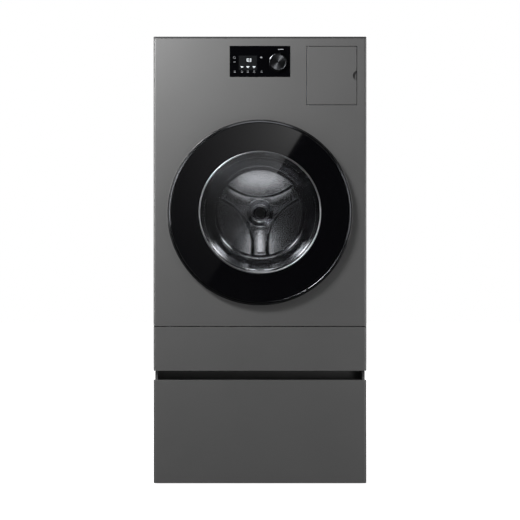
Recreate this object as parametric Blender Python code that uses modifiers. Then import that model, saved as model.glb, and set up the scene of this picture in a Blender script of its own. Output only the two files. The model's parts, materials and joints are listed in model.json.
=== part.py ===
"""A washer dryer on its drawer pedestal: one wide heat-pump machine that washes and dries in the same drum,
standing on a steel pedestal with a storage drawer.

The front faces -Y, +X is to the right of someone who stands before it, and +Z is up. The origin is on the
floor, under the middle of the whole object. Lengths are in metres.
"""

from math import atan2, cos, hypot, pi, radians, sin

import bmesh
import bpy
from mathutils import Vector

# ---------------------------------------------------------------- driving sizes
# the whole object, front to back and side to side
WIDTH = 0.686
CABINET_DEPTH = 0.813
DOOR_PROUD = 0.038
CONNECTOR_PROUD = 0.024

# the front, from the floor up
FLOOR_CLEARANCE = 0.004
DRAWER_FRONT_HEIGHT = 0.332
GRIP_HEIGHT = 0.030
FLAP_HEIGHT = 0.1415
SEAM = 0.0025
PANEL_HEIGHT = 0.927
COVER_HEIGHT = 0.005

# sheet metal and general clearances
SHEET = 0.0015
EDGE_ROUND = 0.008
GAP = 0.0003
LOOSE = 0.001
FRONT_FLANGE = 0.030
TOP_FLANGE = 0.030

# the loading door
DOOR_HEIGHT = 0.366
DOOR_RADIUS = 0.2945
DOOR_REAR_GAP = 0.0055
DOOR_CHAMFER = 0.0065
GLASS_THICKNESS = 0.004
DOOR_RIM_WIDTH = 0.099
BOWL_WALL = 0.0045
BOWL_FLANGE = 0.0175
BOWL_NARROWING = 0.0575
BOWL_DEPTH = 0.088
SEAT_RING_THICKNESS = 0.004
SEAT_RING_MARGIN = 0.0045
SEAT_RING_WIDTH = 0.037
HINGE_INSET = 0.010
HINGE_HALF_SPACING = 0.050
HINGE_PIN_RADIUS = 0.003
LUG_THICKNESS = 0.004
LUG_HALF_WIDTH = 0.003
LUG_NOSE = 0.0045
HINGE_FOOT_THICKNESS = 0.003
HINGE_FOOT_OUT = 0.004
HINGE_FOOT_IN = 0.0165
HINGE_FOOT_END = 0.010
DOOR_SKIN = 0.007
HOOK_INSET = 0.046
HOOK_REACH = 0.020

# tub, drum and motor, all turned about one level axis behind the door
GASKET_WIDTH = 0.030
GASKET_CLEARANCE = 0.0025
TUB_SIDE_SPACE = 0.045
TUB_REAR_SPACE = 0.1115
TUB_WALL = 0.003
TUB_FRONT = 0.0465
DRUM_CLEARANCE = 0.027
DRUM_FRONT_CLEARANCE = 0.0155
DRUM_REAR_CLEARANCE = 0.0295
DRUM_WALL = 0.002
DRUM_TAPER_LENGTH = 0.232
DRUM_NARROWING = 0.096
DRUM_LIP = 0.036
DRUM_BACK_THICKNESS = 0.006
RECESS_DEPTH = 0.004
RECESS_MARGIN = 0.022
RECESS_RADIUS = 0.060
RECESS_FLOOR_RADIUS = 0.040
LIFTER_HEIGHT = 0.042
LIFTER_WIDTH = 0.060
LIFTER_FRONT_SPACE = 0.060
LIFTER_BACK_SPACE = 0.018
LIFTER_COUNT = 3
SHAFT_RADIUS = 0.0125
STATOR_RADIUS = 0.118
ROTOR_RADIUS = 0.140
MOTOR_DEPTH = 0.050

# springs that hang the tub, and the dampers under it
SPRING_INSET = 0.043
SPRING_Y = -0.020
SPRING_RADIUS = 0.011
SPRING_WIRE = 0.0018
SPRING_TURNS = 7
DAMPER_INSET = 0.108
DAMPER_Y = -0.030
DAMPER_TUBE = 0.016
DAMPER_ROD = 0.006

# control window and dial
CONTROL_WIDTH = 0.195
CONTROL_HEIGHT = 0.100
CONTROL_DROP = 0.025
CONTROL_GLASS = 0.004
DIAL_RADIUS = 0.029
DIAL_HEIGHT = 0.014
DIAL_OFFSET = 0.0577
DIAL_RISE = -0.0030
DIAL_SHAFT_RADIUS = 0.004

# lint filter door, its housing and the filter in it
FILTER_WIDTH = 0.160
FILTER_HEIGHT = 0.187
FILTER_SIDE_MARGIN = 0.032
FILTER_DROP = 0.027
FILTER_DOOR_THICKNESS = 0.016
FILTER_GAP = 0.0016
FILTER_HINGE_INSET = 0.004
FILTER_HINGE_DEPTH = 0.0040
FILTER_PIN_RADIUS = 0.0015
FILTER_PIN_LENGTH = 0.002
FILTER_DEPTH = 0.200
HOUSING_WALL = 0.003
NOTCH_WIDTH = 0.012
NOTCH_HEIGHT = 0.031
NOTCH_DEPTH = 0.009

# lower flap and its hinge
FLAP_THICKNESS = 0.022
FLAP_WALL = 0.0025
FLAP_AXIS_INSET = 0.008
FLAP_PIN_RADIUS = 0.0025
FLAP_HINGE_SPACING = 0.500
FLAP_LUG_WIDTH = 0.008
RIB_OFFSET = 0.0007
SCOOP_WIDTH = 0.042
SCOOP_DEPTH = 0.008

# machine base, feet and what stands on the base
BASE_HEIGHT = 0.040
BASE_WALL = 0.0015
MACHINE_FOOT_HEIGHT = 0.014
MACHINE_FOOT_RADIUS = 0.020
FOOT_INSET = 0.060
BASE_SET_BACK = 0.030
PUMP_HEIGHT = 0.095
CAP_RADIUS = 0.034
CAP_LENGTH = 0.016
DETERGENT_HEIGHT = 0.070
COIL_HEIGHT = 0.130
COIL_WIDTH = 0.270
EVAPORATOR_DEPTH = 0.120
CONDENSER_DEPTH = 0.160
COMPRESSOR_RADIUS = 0.055
COMPRESSOR_HEIGHT = 0.215
BLOWER_RADIUS = 0.070
BLOWER_THICKNESS = 0.046
SCROLL_WALL = 0.003
FIN_THICKNESS = 0.002
FIN_CHANNELS = 7
COUNTERWEIGHT_WIDTH = 0.280
COUNTERWEIGHT_LENGTH = 0.220
COUNTERWEIGHT_HEIGHT = 0.040
COUNTERWEIGHT_SET_BACK = 0.080
DUCT_THICKNESS = 0.030
DUCT_WIDTH = 0.150

# pedestal
PEDESTAL_REAR_STEP = 0.016
PEDESTAL_INSET = 0.0044
PEDESTAL_CHEEK = 0.008
PEDESTAL_DECK = 0.003
PEDESTAL_SHEET = 0.002
PEDESTAL_CLEARANCE = 0.012
GRIP_DEPTH = 0.060
GRIP_RAIL = 0.006
DRAWER_FRONT_THICKNESS = 0.022
DRAWER_WALL = 0.0015
DRAWER_BOX_DROP = 0.042
DRAWER_BOX_FLOOR_GAP = 0.010
DRAWER_BACK_GAP = 0.035
SLIDE_SPACE = 0.026
SLIDE_HEIGHT = 0.045
SLIDE_Z = 0.150
PEDESTAL_FOOT_RADIUS = 0.024

# ---------------------------------------------------------------- places that follow from the sizes
DEPTH = DOOR_PROUD + CABINET_DEPTH + CONNECTOR_PROUD
FRONT_Y = -DEPTH / 2 + DOOR_PROUD
BACK_Y = FRONT_Y + CABINET_DEPTH
SIDE_X = WIDTH / 2
DRAWER_TOP = FLOOR_CLEARANCE + DRAWER_FRONT_HEIGHT
FLAP_BOTTOM = DRAWER_TOP + GRIP_HEIGHT
FLAP_TOP = FLAP_BOTTOM + FLAP_HEIGHT
PANEL_BOTTOM = FLAP_TOP + SEAM
PANEL_TOP = PANEL_BOTTOM + PANEL_HEIGHT
TOP = PANEL_TOP + COVER_HEIGHT
AXIS_Z = PANEL_BOTTOM + DOOR_HEIGHT
AXIS_POINT = Vector((0, FRONT_Y, AXIS_Z))
DECK_TOP = FLAP_BOTTOM - 0.004
BASE_BOTTOM = DECK_TOP + GAP + MACHINE_FOOT_HEIGHT + GAP
BASE_FLOOR = BASE_BOTTOM + BASE_WALL + GAP
BASE_FRONT_Y = FRONT_Y + BASE_SET_BACK
INNER_X = SIDE_X - SHEET - GAP
INNER_BACK_Y = BACK_Y - SHEET - GAP
WINDOW_RADIUS = DOOR_RADIUS - DOOR_RIM_WIDTH
BOWL_BACK_RADIUS = WINDOW_RADIUS - BOWL_NARROWING
GASKET_LIP = WINDOW_RADIUS + GASKET_CLEARANCE
MOUTH_RADIUS = GASKET_LIP + GASKET_WIDTH
TUB_RADIUS = SIDE_X - TUB_SIDE_SPACE
TUB_BACK = CABINET_DEPTH - TUB_REAR_SPACE
TUB_LENGTH = TUB_BACK - TUB_FRONT
DRUM_RADIUS = TUB_RADIUS - TUB_WALL - DRUM_CLEARANCE
DRUM_FRONT = TUB_FRONT + DRUM_FRONT_CLEARANCE
DRUM_BACK = TUB_BACK - DRUM_REAR_CLEARANCE
DRUM_BACK_RADIUS = DRUM_RADIUS - DRUM_NARROWING
DRUM_MOUTH = DRUM_RADIUS - DRUM_LIP
SPRING_X = TUB_RADIUS - SPRING_INSET
DAMPER_X = TUB_RADIUS - DAMPER_INSET
HINGE_X = -(DOOR_RADIUS - HINGE_INSET)
HINGE_Y = FRONT_Y - (DOOR_PROUD + DOOR_REAR_GAP) / 2
FACING_FRONT = (pi / 2, 0, 0)
FACING_RIGHT = (0, pi / 2, 0)
UPRIGHT = (0, 0, 0)

# ---------------------------------------------------------------- materials: colour, metallic, roughness
FINISHES = {
    "graphite_steel": ((0.085, 0.086, 0.088), 0.85, 0.38),
    "black_cover": ((0.012, 0.012, 0.013), 0.0, 0.40),
    "black_glass": ((0.004, 0.004, 0.005), 0.0, 0.05),
    "clear_glass": ((0.80, 0.84, 0.86), 0.0, 0.03),
    "black_plastic": ((0.010, 0.010, 0.011), 0.0, 0.45),
    "grey_rubber": ((0.060, 0.060, 0.062), 0.0, 0.75),
    "stainless_steel": ((0.56, 0.56, 0.57), 1.0, 0.25),
    "galvanised_steel": ((0.40, 0.41, 0.42), 0.9, 0.45),
    "white_plastic": ((0.72, 0.72, 0.70), 0.0, 0.50),
    "grey_plastic": ((0.20, 0.20, 0.21), 0.0, 0.50),
    "blue_plastic": ((0.03, 0.13, 0.35), 0.0, 0.45),
    "cast_iron": ((0.10, 0.10, 0.10), 0.6, 0.70),
    "aluminium_fins": ((0.75, 0.76, 0.77), 1.0, 0.40),
    "copper_winding": ((0.55, 0.22, 0.10), 1.0, 0.35),
    "circuit_board": ((0.02, 0.10, 0.05), 0.0, 0.60),
    "black_enamel": ((0.015, 0.015, 0.016), 0.1, 0.30),
}


# ---------------------------------------------------------------- helpers
def clear_scene():
    for item in list(bpy.data.objects):
        bpy.data.objects.remove(item, do_unlink=True)


def new_collection(name):
    made = bpy.data.collections.new(name)
    bpy.context.scene.collection.children.link(made)
    return made


clear_scene()
PARTS = new_collection("washer_dryer_stack")
CUTTERS = new_collection("cutters")


def material(name):
    """The named finish as a Principled material, made once."""
    if name in bpy.data.materials:
        return bpy.data.materials[name]
    colour, metallic, roughness = FINISHES[name]
    made = bpy.data.materials.new(name)
    made.use_nodes = True
    shader = made.node_tree.nodes["Principled BSDF"]
    shader.inputs["Base Color"].default_value = (*colour, 1.0)
    shader.inputs["Metallic"].default_value = metallic
    shader.inputs["Roughness"].default_value = roughness
    return made


def place(name, mesh, finish, where=(0, 0, 0), turn=UPRIGHT):
    """An object that holds the mesh. With no finish it is a cutter or a shape to join."""
    piece = bpy.data.objects.new(name, mesh)
    piece.location = where
    piece.rotation_euler = turn
    if finish:
        PARTS.objects.link(piece)
        mesh.materials.append(material(finish))
    else:
        CUTTERS.objects.link(piece)
        piece.hide_render = True
        piece.display_type = "WIRE"
    return piece


def mesh_from(bm, name, smooth_angle=None):
    mesh = bpy.data.meshes.new(name)
    bm.to_mesh(mesh)
    bm.free()
    if smooth_angle:
        mesh.shade_smooth()
        mesh.set_sharp_from_angle(angle=smooth_angle)
    return mesh


def box(name, x, y, z, finish=None, edge=0.0, front_only=False, segments=3):
    """A block between the given limits. edge rounds every edge, or only the two upright front ones."""
    size = Vector((x[1] - x[0], y[1] - y[0], z[1] - z[0]))
    bm = bmesh.new()
    bmesh.ops.create_cube(bm, size=1.0)
    bmesh.ops.scale(bm, vec=size, verts=bm.verts)
    if edge:
        def is_upright_front(line):
            a, b = (vert.co for vert in line.verts)
            return a.y < 0 and b.y < 0 and abs(a.x - b.x) < GAP
        chosen = [line for line in bm.edges if not front_only or is_upright_front(line)]
        bmesh.ops.bevel(
            bm, geom=chosen, offset=edge, segments=segments, affect="EDGES", profile=0.5
        )
    middle = (sum(x) / 2, sum(y) / 2, sum(z) / 2)
    return place(name, mesh_from(bm, name, radians(30) if edge else None), finish, middle)


def rod(name, middle, radius, length, finish=None, turn=FACING_FRONT, sides=24, tip=None):
    """A round bar about the middle point. tip is the radius at its +Z end where it tapers."""
    bm = bmesh.new()
    bmesh.ops.create_cone(
        bm, cap_ends=True, segments=sides, radius1=radius, radius2=tip or radius, depth=length
    )
    return place(name, mesh_from(bm, name, radians(40)), finish, middle, turn)


def turned(name, profile, finish=None, where=AXIS_POINT, turn=FACING_FRONT, steps=48):
    """A body turned from (radius, height) points: down the outer side, then back up the inner side."""
    bm = bmesh.new()
    points = [bm.verts.new((radius, 0, height)) for radius, height in profile]
    for a, b in zip(points, points[1:] + points[:1]):
        if a.co.x or b.co.x:
            bm.edges.new((a, b))
    piece = place(name, mesh_from(bm, name), finish, where, turn)
    screw = piece.modifiers.new("turn", "SCREW")
    screw.steps = screw.render_steps = steps
    screw.use_merge_vertices = True
    screw.merge_threshold = 0.0001
    screw.use_smooth_shade = False
    return piece


def combine(piece, operation, others):
    for other in others:
        boolean = piece.modifiers.new(f"{operation.lower()} {other.name}", "BOOLEAN")
        boolean.operation = operation
        boolean.object = other
        boolean.solver = "EXACT"
    return piece


def cut(piece, *others):
    return combine(piece, "DIFFERENCE", others)


def join(piece, *others):
    return combine(piece, "UNION", others)


def tray(name, x, y, z, wall, finish, edge=EDGE_ROUND):
    """A front skin with its edges turned back, open behind."""
    skin = box(name, x, y, z, finish, edge, front_only=True, segments=4)
    hollow = box(
        f"{name} hollow",
        (x[0] + wall, x[1] - wall),
        (y[0] + wall, y[1] + wall),
        (z[0] + wall, z[1] - wall),
        None,
        edge - wall,
        front_only=True,
        segments=4,
    )
    return cut(skin, hollow)


def pivot(name, where):
    """An empty on a joint's axis, which carries the pieces that move about it."""
    empty = bpy.data.objects.new(name, None)
    empty.location = where
    empty.empty_display_size = 0.05
    PARTS.objects.link(empty)
    return empty


def carry(empty, *pieces):
    for piece in pieces:
        piece.parent = empty
        piece.location = Vector(piece.location) - Vector(empty.location)


# ---------------------------------------------------------------- cabinet
def control_limits():
    top = PANEL_TOP - CONTROL_DROP
    return (-CONTROL_WIDTH / 2, CONTROL_WIDTH / 2), (top - CONTROL_HEIGHT, top)


def filter_limits():
    right = SIDE_X - FILTER_SIDE_MARGIN
    top = PANEL_TOP - FILTER_DROP
    return (right - FILTER_WIDTH, right), (top - FILTER_HEIGHT, top)


def grown(limits, by):
    return limits[0] - by, limits[1] + by


def hook_limits(clearance=0.0):
    """Where the door's hook passes through the panel into the lock."""
    x = DOOR_RADIUS - HOOK_INSET
    return grown((x - 0.0025, x + 0.0025), clearance), grown((AXIS_Z - 0.008, AXIS_Z + 0.008), clearance)


def front_panel():
    panel = tray(
        "front_panel",
        (-SIDE_X, SIDE_X),
        (FRONT_Y, FRONT_Y + FRONT_FLANGE),
        (PANEL_BOTTOM, PANEL_TOP - GAP),
        SHEET,
        "graphite_steel",
    )
    through = (FRONT_Y - LOOSE, FRONT_Y + 0.01)
    control_x, control_z = control_limits()
    filter_x, filter_z = filter_limits()
    hook_x, hook_z = hook_limits(0.004)
    mouth = rod("door mouth", AXIS_POINT, MOUTH_RADIUS, 0.02, sides=64)
    window = box("control opening", grown(control_x, GAP), through, grown(control_z, GAP), None)
    flap = box("filter opening", grown(filter_x, FILTER_GAP), through, grown(filter_z, FILTER_GAP), None)
    slot = box("hook slot", hook_x, through, hook_z, None)
    return cut(panel, mouth, window, flap, slot)


def side_panels():
    """Each side runs forward to the front panel's flange and, lower down, to where the flap swings."""
    y = (FRONT_Y + FRONT_FLANGE + GAP, BACK_Y)
    z = (FLAP_BOTTOM, PANEL_TOP - GAP)
    swing = FLAP_AXIS_INSET + hypot(FLAP_THICKNESS - FLAP_AXIS_INSET, FLAP_AXIS_INSET)
    lower_y = (FRONT_Y + swing + LOOSE, y[0] + LOOSE)
    for name, side in (("side_panel_left", -1), ("side_panel_right", 1)):
        skin_x = sorted((side * SIDE_X, side * (SIDE_X - SHEET)))
        skin = box(name, skin_x, y, z, "graphite_steel")
        flange_x = sorted((side * SIDE_X, side * (SIDE_X - TOP_FLANGE)))
        flange = box(f"{name} flange", flange_x, y, (z[1] - SHEET, z[1]), None)
        lower = box(f"{name} lower edge", skin_x, lower_y, (z[0], PANEL_BOTTOM - GAP), None)
        join(skin, flange, lower)


def back_panel():
    x = (-INNER_X, INNER_X)
    z = (BASE_BOTTOM, PANEL_TOP - GAP - SHEET - GAP)
    panel = box("back_panel", x, (BACK_Y - SHEET, BACK_Y), z, "galvanised_steel")
    holes = [
        rod(f"{label} hole", (hole_x, BACK_Y, hole_z), radius + LOOSE, 0.02)
        for label, hole_x, hole_z, radius in rear_fittings()
    ]
    return cut(panel, *holes)


def rear_fittings():
    """(label, x, z, radius) of each fitting that passes through the back panel."""
    high = PANEL_TOP - 0.110
    return (
        ("cold valve", -SIDE_X + 0.120, high, 0.0135),
        ("hot valve", -SIDE_X + 0.180, high, 0.0135),
        ("drain outlet", -SIDE_X + 0.060, high - 0.15, 0.016),
        ("cord gland", SIDE_X - 0.070, high, 0.012),
    )


def top_cover():
    cover = box(
        "top_cover",
        (-SIDE_X, SIDE_X),
        (FRONT_Y, BACK_Y),
        (PANEL_TOP, TOP),
        "black_cover",
        EDGE_ROUND,
        front_only=True,
        segments=4,
    )
    return cover


def base_frame():
    x = (-INNER_X, INNER_X)
    y = (BASE_FRONT_Y, INNER_BACK_Y)
    frame = box("base_frame", x, y, (BASE_BOTTOM, BASE_BOTTOM + BASE_HEIGHT), "galvanised_steel")
    well = box(
        "base well",
        grown(x, -BASE_WALL),
        grown(y, -BASE_WALL),
        (BASE_BOTTOM + BASE_WALL, BASE_BOTTOM + BASE_HEIGHT + LOOSE),
        None,
    )
    axis_y, axis_z = flap_axis()
    nose_radius = FLAP_AXIS_INSET - FLAP_WALL - 0.0005
    for side in (-1, 1):
        middle = side * FLAP_HINGE_SPACING / 2
        lug_x = (middle - FLAP_LUG_WIDTH / 2, middle + FLAP_LUG_WIDTH / 2)
        arm_z = (axis_z - nose_radius, axis_z + nose_radius)
        arm = box(f"flap lug {side}", lug_x, (axis_y, y[0] + LOOSE), arm_z, None)
        foot_z = (arm_z[0] + LOOSE, BASE_BOTTOM + 0.020)
        foot_x = grown(lug_x, FLAP_LUG_WIDTH / 4)
        foot = box(f"flap lug foot {side}", foot_x, (y[0] - 0.003, y[0] + LOOSE), foot_z, None)
        nose = rod(
            f"flap nose {side}", (middle, axis_y, axis_z), nose_radius, FLAP_LUG_WIDTH + GAP,
            turn=FACING_RIGHT,
        )
        eye = rod(
            f"flap eye {side}", (middle, axis_y, axis_z), FLAP_PIN_RADIUS + 0.0005, 0.02, turn=FACING_RIGHT
        )
        join(frame, arm, foot, nose)
        cut(frame, eye)
    return cut(frame, well)


def machine_feet():
    middle_z = DECK_TOP + GAP + MACHINE_FOOT_HEIGHT / 2
    places = foot_places(SIDE_X - FOOT_INSET, BASE_FRONT_Y + FOOT_INSET, BACK_Y - FOOT_INSET)
    for name, x, y in places:
        rod(f"machine_foot_{name}", (x, y, middle_z), MACHINE_FOOT_RADIUS, MACHINE_FOOT_HEIGHT,
            "black_plastic", UPRIGHT)


def foot_places(x, front_y, back_y):
    return (
        ("front_left", -x, front_y),
        ("front_right", x, front_y),
        ("rear_left", -x, back_y),
        ("rear_right", x, back_y),
    )


# ---------------------------------------------------------------- control window and dial
def dial_place():
    _, z = control_limits()
    return DIAL_OFFSET, sum(z) / 2 + DIAL_RISE


def control_window():
    x, z = control_limits()
    dial_x, dial_z = dial_place()
    glass = box("control_glass", x, (FRONT_Y, FRONT_Y + CONTROL_GLASS), z, "black_glass", 0.0006, segments=1)
    board_y = (FRONT_Y + CONTROL_GLASS + GAP, FRONT_Y + CONTROL_GLASS + 0.016)
    board = box("control_board", grown(x, 0.008), board_y, grown(z, 0.006), "circuit_board")
    shaft_hole = rod("dial shaft hole", (dial_x, FRONT_Y, dial_z), DIAL_SHAFT_RADIUS + LOOSE, 0.08)
    cut(glass, shaft_hole)
    cut(board, shaft_hole)


def dial():
    dial_x, dial_z = dial_place()
    lip = 0.0008
    profile = (
        (0, DIAL_HEIGHT),
        (DIAL_RADIUS - 0.0022, DIAL_HEIGHT),
        (DIAL_RADIUS, DIAL_HEIGHT - 0.0022),
        (DIAL_RADIUS, lip),
        (DIAL_SHAFT_RADIUS, lip),
        (DIAL_SHAFT_RADIUS, -0.018),
        (0, -0.018),
    )
    knob = turned("dial_knob", profile, "black_plastic", (dial_x, FRONT_Y, dial_z))
    carry(pivot("dial_pivot", (dial_x, FRONT_Y, dial_z)), knob)


# ---------------------------------------------------------------- lint filter
def filter_axis():
    x, _ = filter_limits()
    return x[0] + FILTER_HINGE_INSET, FRONT_Y + FILTER_HINGE_DEPTH


def filter_set():
    x, z = filter_limits()
    axis_x, axis_y = filter_axis()
    housing_x, housing_z = grown(x, FILTER_GAP), grown(z, FILTER_GAP)
    y = (FRONT_Y + SHEET + GAP, FRONT_Y + FILTER_DEPTH)
    housing = box("filter_housing", grown(housing_x, HOUSING_WALL), y, grown(housing_z, HOUSING_WALL),
                  "black_plastic")
    inside = box("filter housing inside", housing_x, (y[0] - LOOSE, y[1] - HOUSING_WALL), housing_z, None)
    eyes = rod("filter hinge eyes", (axis_x, axis_y, sum(z) / 2), FILTER_PIN_RADIUS + 0.0004,
               FILTER_HEIGHT + 2 * (FILTER_GAP + FILTER_PIN_LENGTH), turn=UPRIGHT, sides=16)
    cut(housing, inside, eyes)

    door_y = (FRONT_Y, FRONT_Y + FILTER_DOOR_THICKNESS)
    door = box("filter_door", x, door_y, z, "graphite_steel", LOOSE, front_only=True, segments=2)
    pins = rod("filter pins", (axis_x, axis_y, sum(z) / 2), FILTER_PIN_RADIUS,
               FILTER_HEIGHT + 2 * FILTER_PIN_LENGTH, turn=UPRIGHT, sides=16)
    notch_reach = (NOTCH_HEIGHT ** 2 / 4 + NOTCH_WIDTH ** 2) / (2 * NOTCH_WIDTH)
    notch = rod("filter notch", (x[1] - NOTCH_WIDTH + notch_reach, FRONT_Y, sum(z) / 2), notch_reach,
                2 * NOTCH_DEPTH, sides=64)
    cut(join(door, pins), notch)
    carry(pivot("filter_door_pivot", (axis_x, axis_y, sum(z) / 2)), door)

    filter_y = (door_y[1] + 0.006, y[1] - HOUSING_WALL - GAP)
    body = box("lint_filter", grown(housing_x, -LOOSE), filter_y, grown(housing_z, -LOOSE), "blue_plastic")
    grip = box("lint filter grip", grown(x, -0.035), (filter_y[0] - LOOSE, filter_y[0] + 0.030),
               grown(z, -0.050), None)
    mesh_space = box("lint filter inside", grown(housing_x, -LOOSE - HOUSING_WALL),
                     (filter_y[0] + 0.030 + HOUSING_WALL, filter_y[1] + LOOSE),
                     grown(housing_z, -LOOSE - HOUSING_WALL), None)
    return cut(body, grip, mesh_space)


# ---------------------------------------------------------------- tub, drum and motor
def tub():
    r, wall = TUB_RADIUS, TUB_WALL
    mouth = GASKET_LIP + 0.010
    split = TUB_FRONT + TUB_LENGTH * 0.45
    front = (
        (mouth, -TUB_FRONT),
        (r, -TUB_FRONT),
        (r, -split),
        (r - wall, -split),
        (r - wall, -TUB_FRONT - wall),
        (mouth, -TUB_FRONT - wall),
    )
    hub = SHAFT_RADIUS + LOOSE
    rear = (
        (r - wall, -split - GAP),
        (r, -split - GAP),
        (r, -TUB_BACK),
        (hub, -TUB_BACK),
        (hub, -TUB_BACK + wall),
        (r - wall, -TUB_BACK + wall),
    )
    turned("tub_front", front, "white_plastic")
    turned("tub_rear", rear, "white_plastic")


def door_gasket():
    seat = MOUTH_RADIUS + 0.008
    lip = GASKET_LIP
    profile = (
        (lip, 0),
        (MOUTH_RADIUS - LOOSE, 0),
        (MOUTH_RADIUS - LOOSE, -SHEET - GAP),
        (seat, -SHEET - GAP),
        (seat, -SHEET - 0.005),
        (lip + 0.019, -SHEET - 0.012),
        (lip + 0.018, -TUB_FRONT + GAP),
        (lip + 0.012, -TUB_FRONT + GAP),
        (lip + 0.012, -0.018),
        (lip, -0.009),
    )
    turned("door_gasket", profile, "grey_rubber")


def lifter_angles():
    return [radians(270 + 360 * step / LIFTER_COUNT) for step in range(LIFTER_COUNT)]


def drum():
    """A straight drum that narrows to its back, where three hollows leave a star of three arms."""
    r, wall, back = DRUM_RADIUS, DRUM_WALL, DRUM_BACK
    narrowing = DRUM_BACK - DRUM_TAPER_LENGTH
    profile = (
        (DRUM_MOUTH, -DRUM_FRONT),
        (r - 0.010, -DRUM_FRONT),
        (r, -DRUM_FRONT - 0.010),
        (r, -narrowing),
        (DRUM_BACK_RADIUS, -back),
        (0, -back),
        (0, -back + DRUM_BACK_THICKNESS),
        (DRUM_BACK_RADIUS - wall, -back + DRUM_BACK_THICKNESS),
        (r - wall, -narrowing),
        (r - wall, -DRUM_FRONT - 0.011),
        (r - 0.011, -DRUM_FRONT - wall),
        (DRUM_MOUTH, -DRUM_FRONT - wall),
    )
    shell = turned("drum", profile, "stainless_steel")
    y = FRONT_Y + back - DRUM_BACK_THICKNESS
    for count, angle in enumerate(lifter_angles()):
        opposite = angle + pi
        recess = drum_recess(f"drum recess {count}", opposite, y)
        cut(shell, recess)
    lifters = [lifter(f"drum_lifter_{count + 1}", angle) for count, angle in enumerate(lifter_angles())]
    return shell, lifters


def drum_recess(name, angle, back_y):
    """A round hollow with sloping sides in the drum's back, between two of its arms."""
    bm = bmesh.new()
    bmesh.ops.create_cone(
        bm,
        cap_ends=True,
        segments=32,
        radius1=RECESS_FLOOR_RADIUS,
        radius2=RECESS_RADIUS,
        depth=2 * RECESS_DEPTH,
    )
    middle = DRUM_BACK_RADIUS - RECESS_MARGIN - RECESS_RADIUS
    where = (middle * cos(angle), back_y, AXIS_Z + middle * sin(angle))
    return place(name, mesh_from(bm, name), None, where, FACING_FRONT)


def lifter(name, angle):
    """A hollow-looking ridge along the drum's wall, narrower at its crest."""
    narrowing = DRUM_BACK - DRUM_TAPER_LENGTH
    length_y = (FRONT_Y + DRUM_FRONT + LIFTER_FRONT_SPACE, FRONT_Y + narrowing - LIFTER_BACK_SPACE)
    foot = (DRUM_RADIUS - DRUM_WALL) * cos(atan2(LIFTER_WIDTH / 2, DRUM_RADIUS)) - 2 * LOOSE
    bm = bmesh.new()
    bmesh.ops.create_cube(bm, size=1.0)
    bmesh.ops.scale(bm, vec=(LIFTER_HEIGHT, length_y[1] - length_y[0], LIFTER_WIDTH), verts=bm.verts)
    crest = [vert for vert in bm.verts if vert.co.x < 0]
    bmesh.ops.scale(bm, vec=(1, 0.9, 0.35), verts=crest)
    bmesh.ops.bevel(bm, geom=list(bm.edges), offset=0.006, segments=2, affect="EDGES", profile=0.5)
    middle = foot - LIFTER_HEIGHT / 2
    where = (middle * cos(angle), sum(length_y) / 2, AXIS_Z + middle * sin(angle))
    return place(name, mesh_from(bm, name, radians(30)), "stainless_steel", where, (0, -angle, 0))


def motor():
    start, end = TUB_BACK + 0.004, TUB_BACK + 0.004 + MOTOR_DEPTH
    stator = (
        (0.055, -start),
        (STATOR_RADIUS, -start),
        (STATOR_RADIUS, -end + 0.012),
        (0.055, -end + 0.012),
    )
    turned("motor_stator", stator, "copper_winding")
    web = 0.004
    rotor = (
        (0, -DRUM_BACK - GAP),
        (SHAFT_RADIUS, -DRUM_BACK - GAP),
        (SHAFT_RADIUS, -end),
        (ROTOR_RADIUS - web, -end),
        (ROTOR_RADIUS - web, -start),
        (ROTOR_RADIUS, -start),
        (ROTOR_RADIUS, -end - web),
        (0, -end - web),
    )
    return turned("motor_rotor", rotor, "galvanised_steel")


def drum_group():
    shell, lifters = drum()
    carry(pivot("drum_pivot", AXIS_POINT), shell, *lifters, motor())


# ---------------------------------------------------------------- what hangs from and props up the tub
def tub_height_at(x):
    """How far the tub reaches above and below its axis at this distance from the middle."""
    return (TUB_RADIUS ** 2 - x ** 2) ** 0.5


def springs():
    x = SPRING_X
    low = AXIS_Z + tub_height_at(x) + SPRING_RADIUS + 0.006
    high = PANEL_TOP - GAP - SHEET - SPRING_WIRE - GAP
    turns, steps = SPRING_TURNS, 8
    for name, side in (("tub_spring_left", -1), ("tub_spring_right", 1)):
        curve = bpy.data.curves.new(name, "CURVE")
        curve.dimensions = "3D"
        curve.bevel_depth = SPRING_WIRE
        curve.bevel_resolution = 1
        curve.use_fill_caps = True
        line = curve.splines.new("POLY")
        count = turns * steps + 1
        line.points.add(count + 1)
        points = [(0, 0, low)]
        for step in range(count):
            angle = 2 * pi * step / steps
            height = low + 0.02 + (high - low - 0.04) * step / (count - 1)
            points.append((SPRING_RADIUS * cos(angle), SPRING_RADIUS * sin(angle), height))
        points.append((0, 0, high))
        for vertex, point in zip(line.points, points):
            vertex.co = (*point, 1)
        spring = bpy.data.objects.new(name, curve)
        spring.location = (side * x, SPRING_Y, 0)
        curve.materials.append(material("galvanised_steel"))
        PARTS.objects.link(spring)


def dampers():
    for name, side in (("damper_left", -1), ("damper_right", 1)):
        x = side * DAMPER_X
        length = AXIS_Z - tub_height_at(DAMPER_X - DAMPER_ROD) - GAP - 2 * LOOSE - BASE_FLOOR
        profile = (
            (0, length),
            (DAMPER_ROD, length),
            (DAMPER_ROD, length * 0.55),
            (DAMPER_TUBE, length * 0.55),
            (DAMPER_TUBE, 0),
            (0, 0),
        )
        turned(name, profile, "galvanised_steel", (x, DAMPER_Y, BASE_FLOOR), UPRIGHT, 16)


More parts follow.
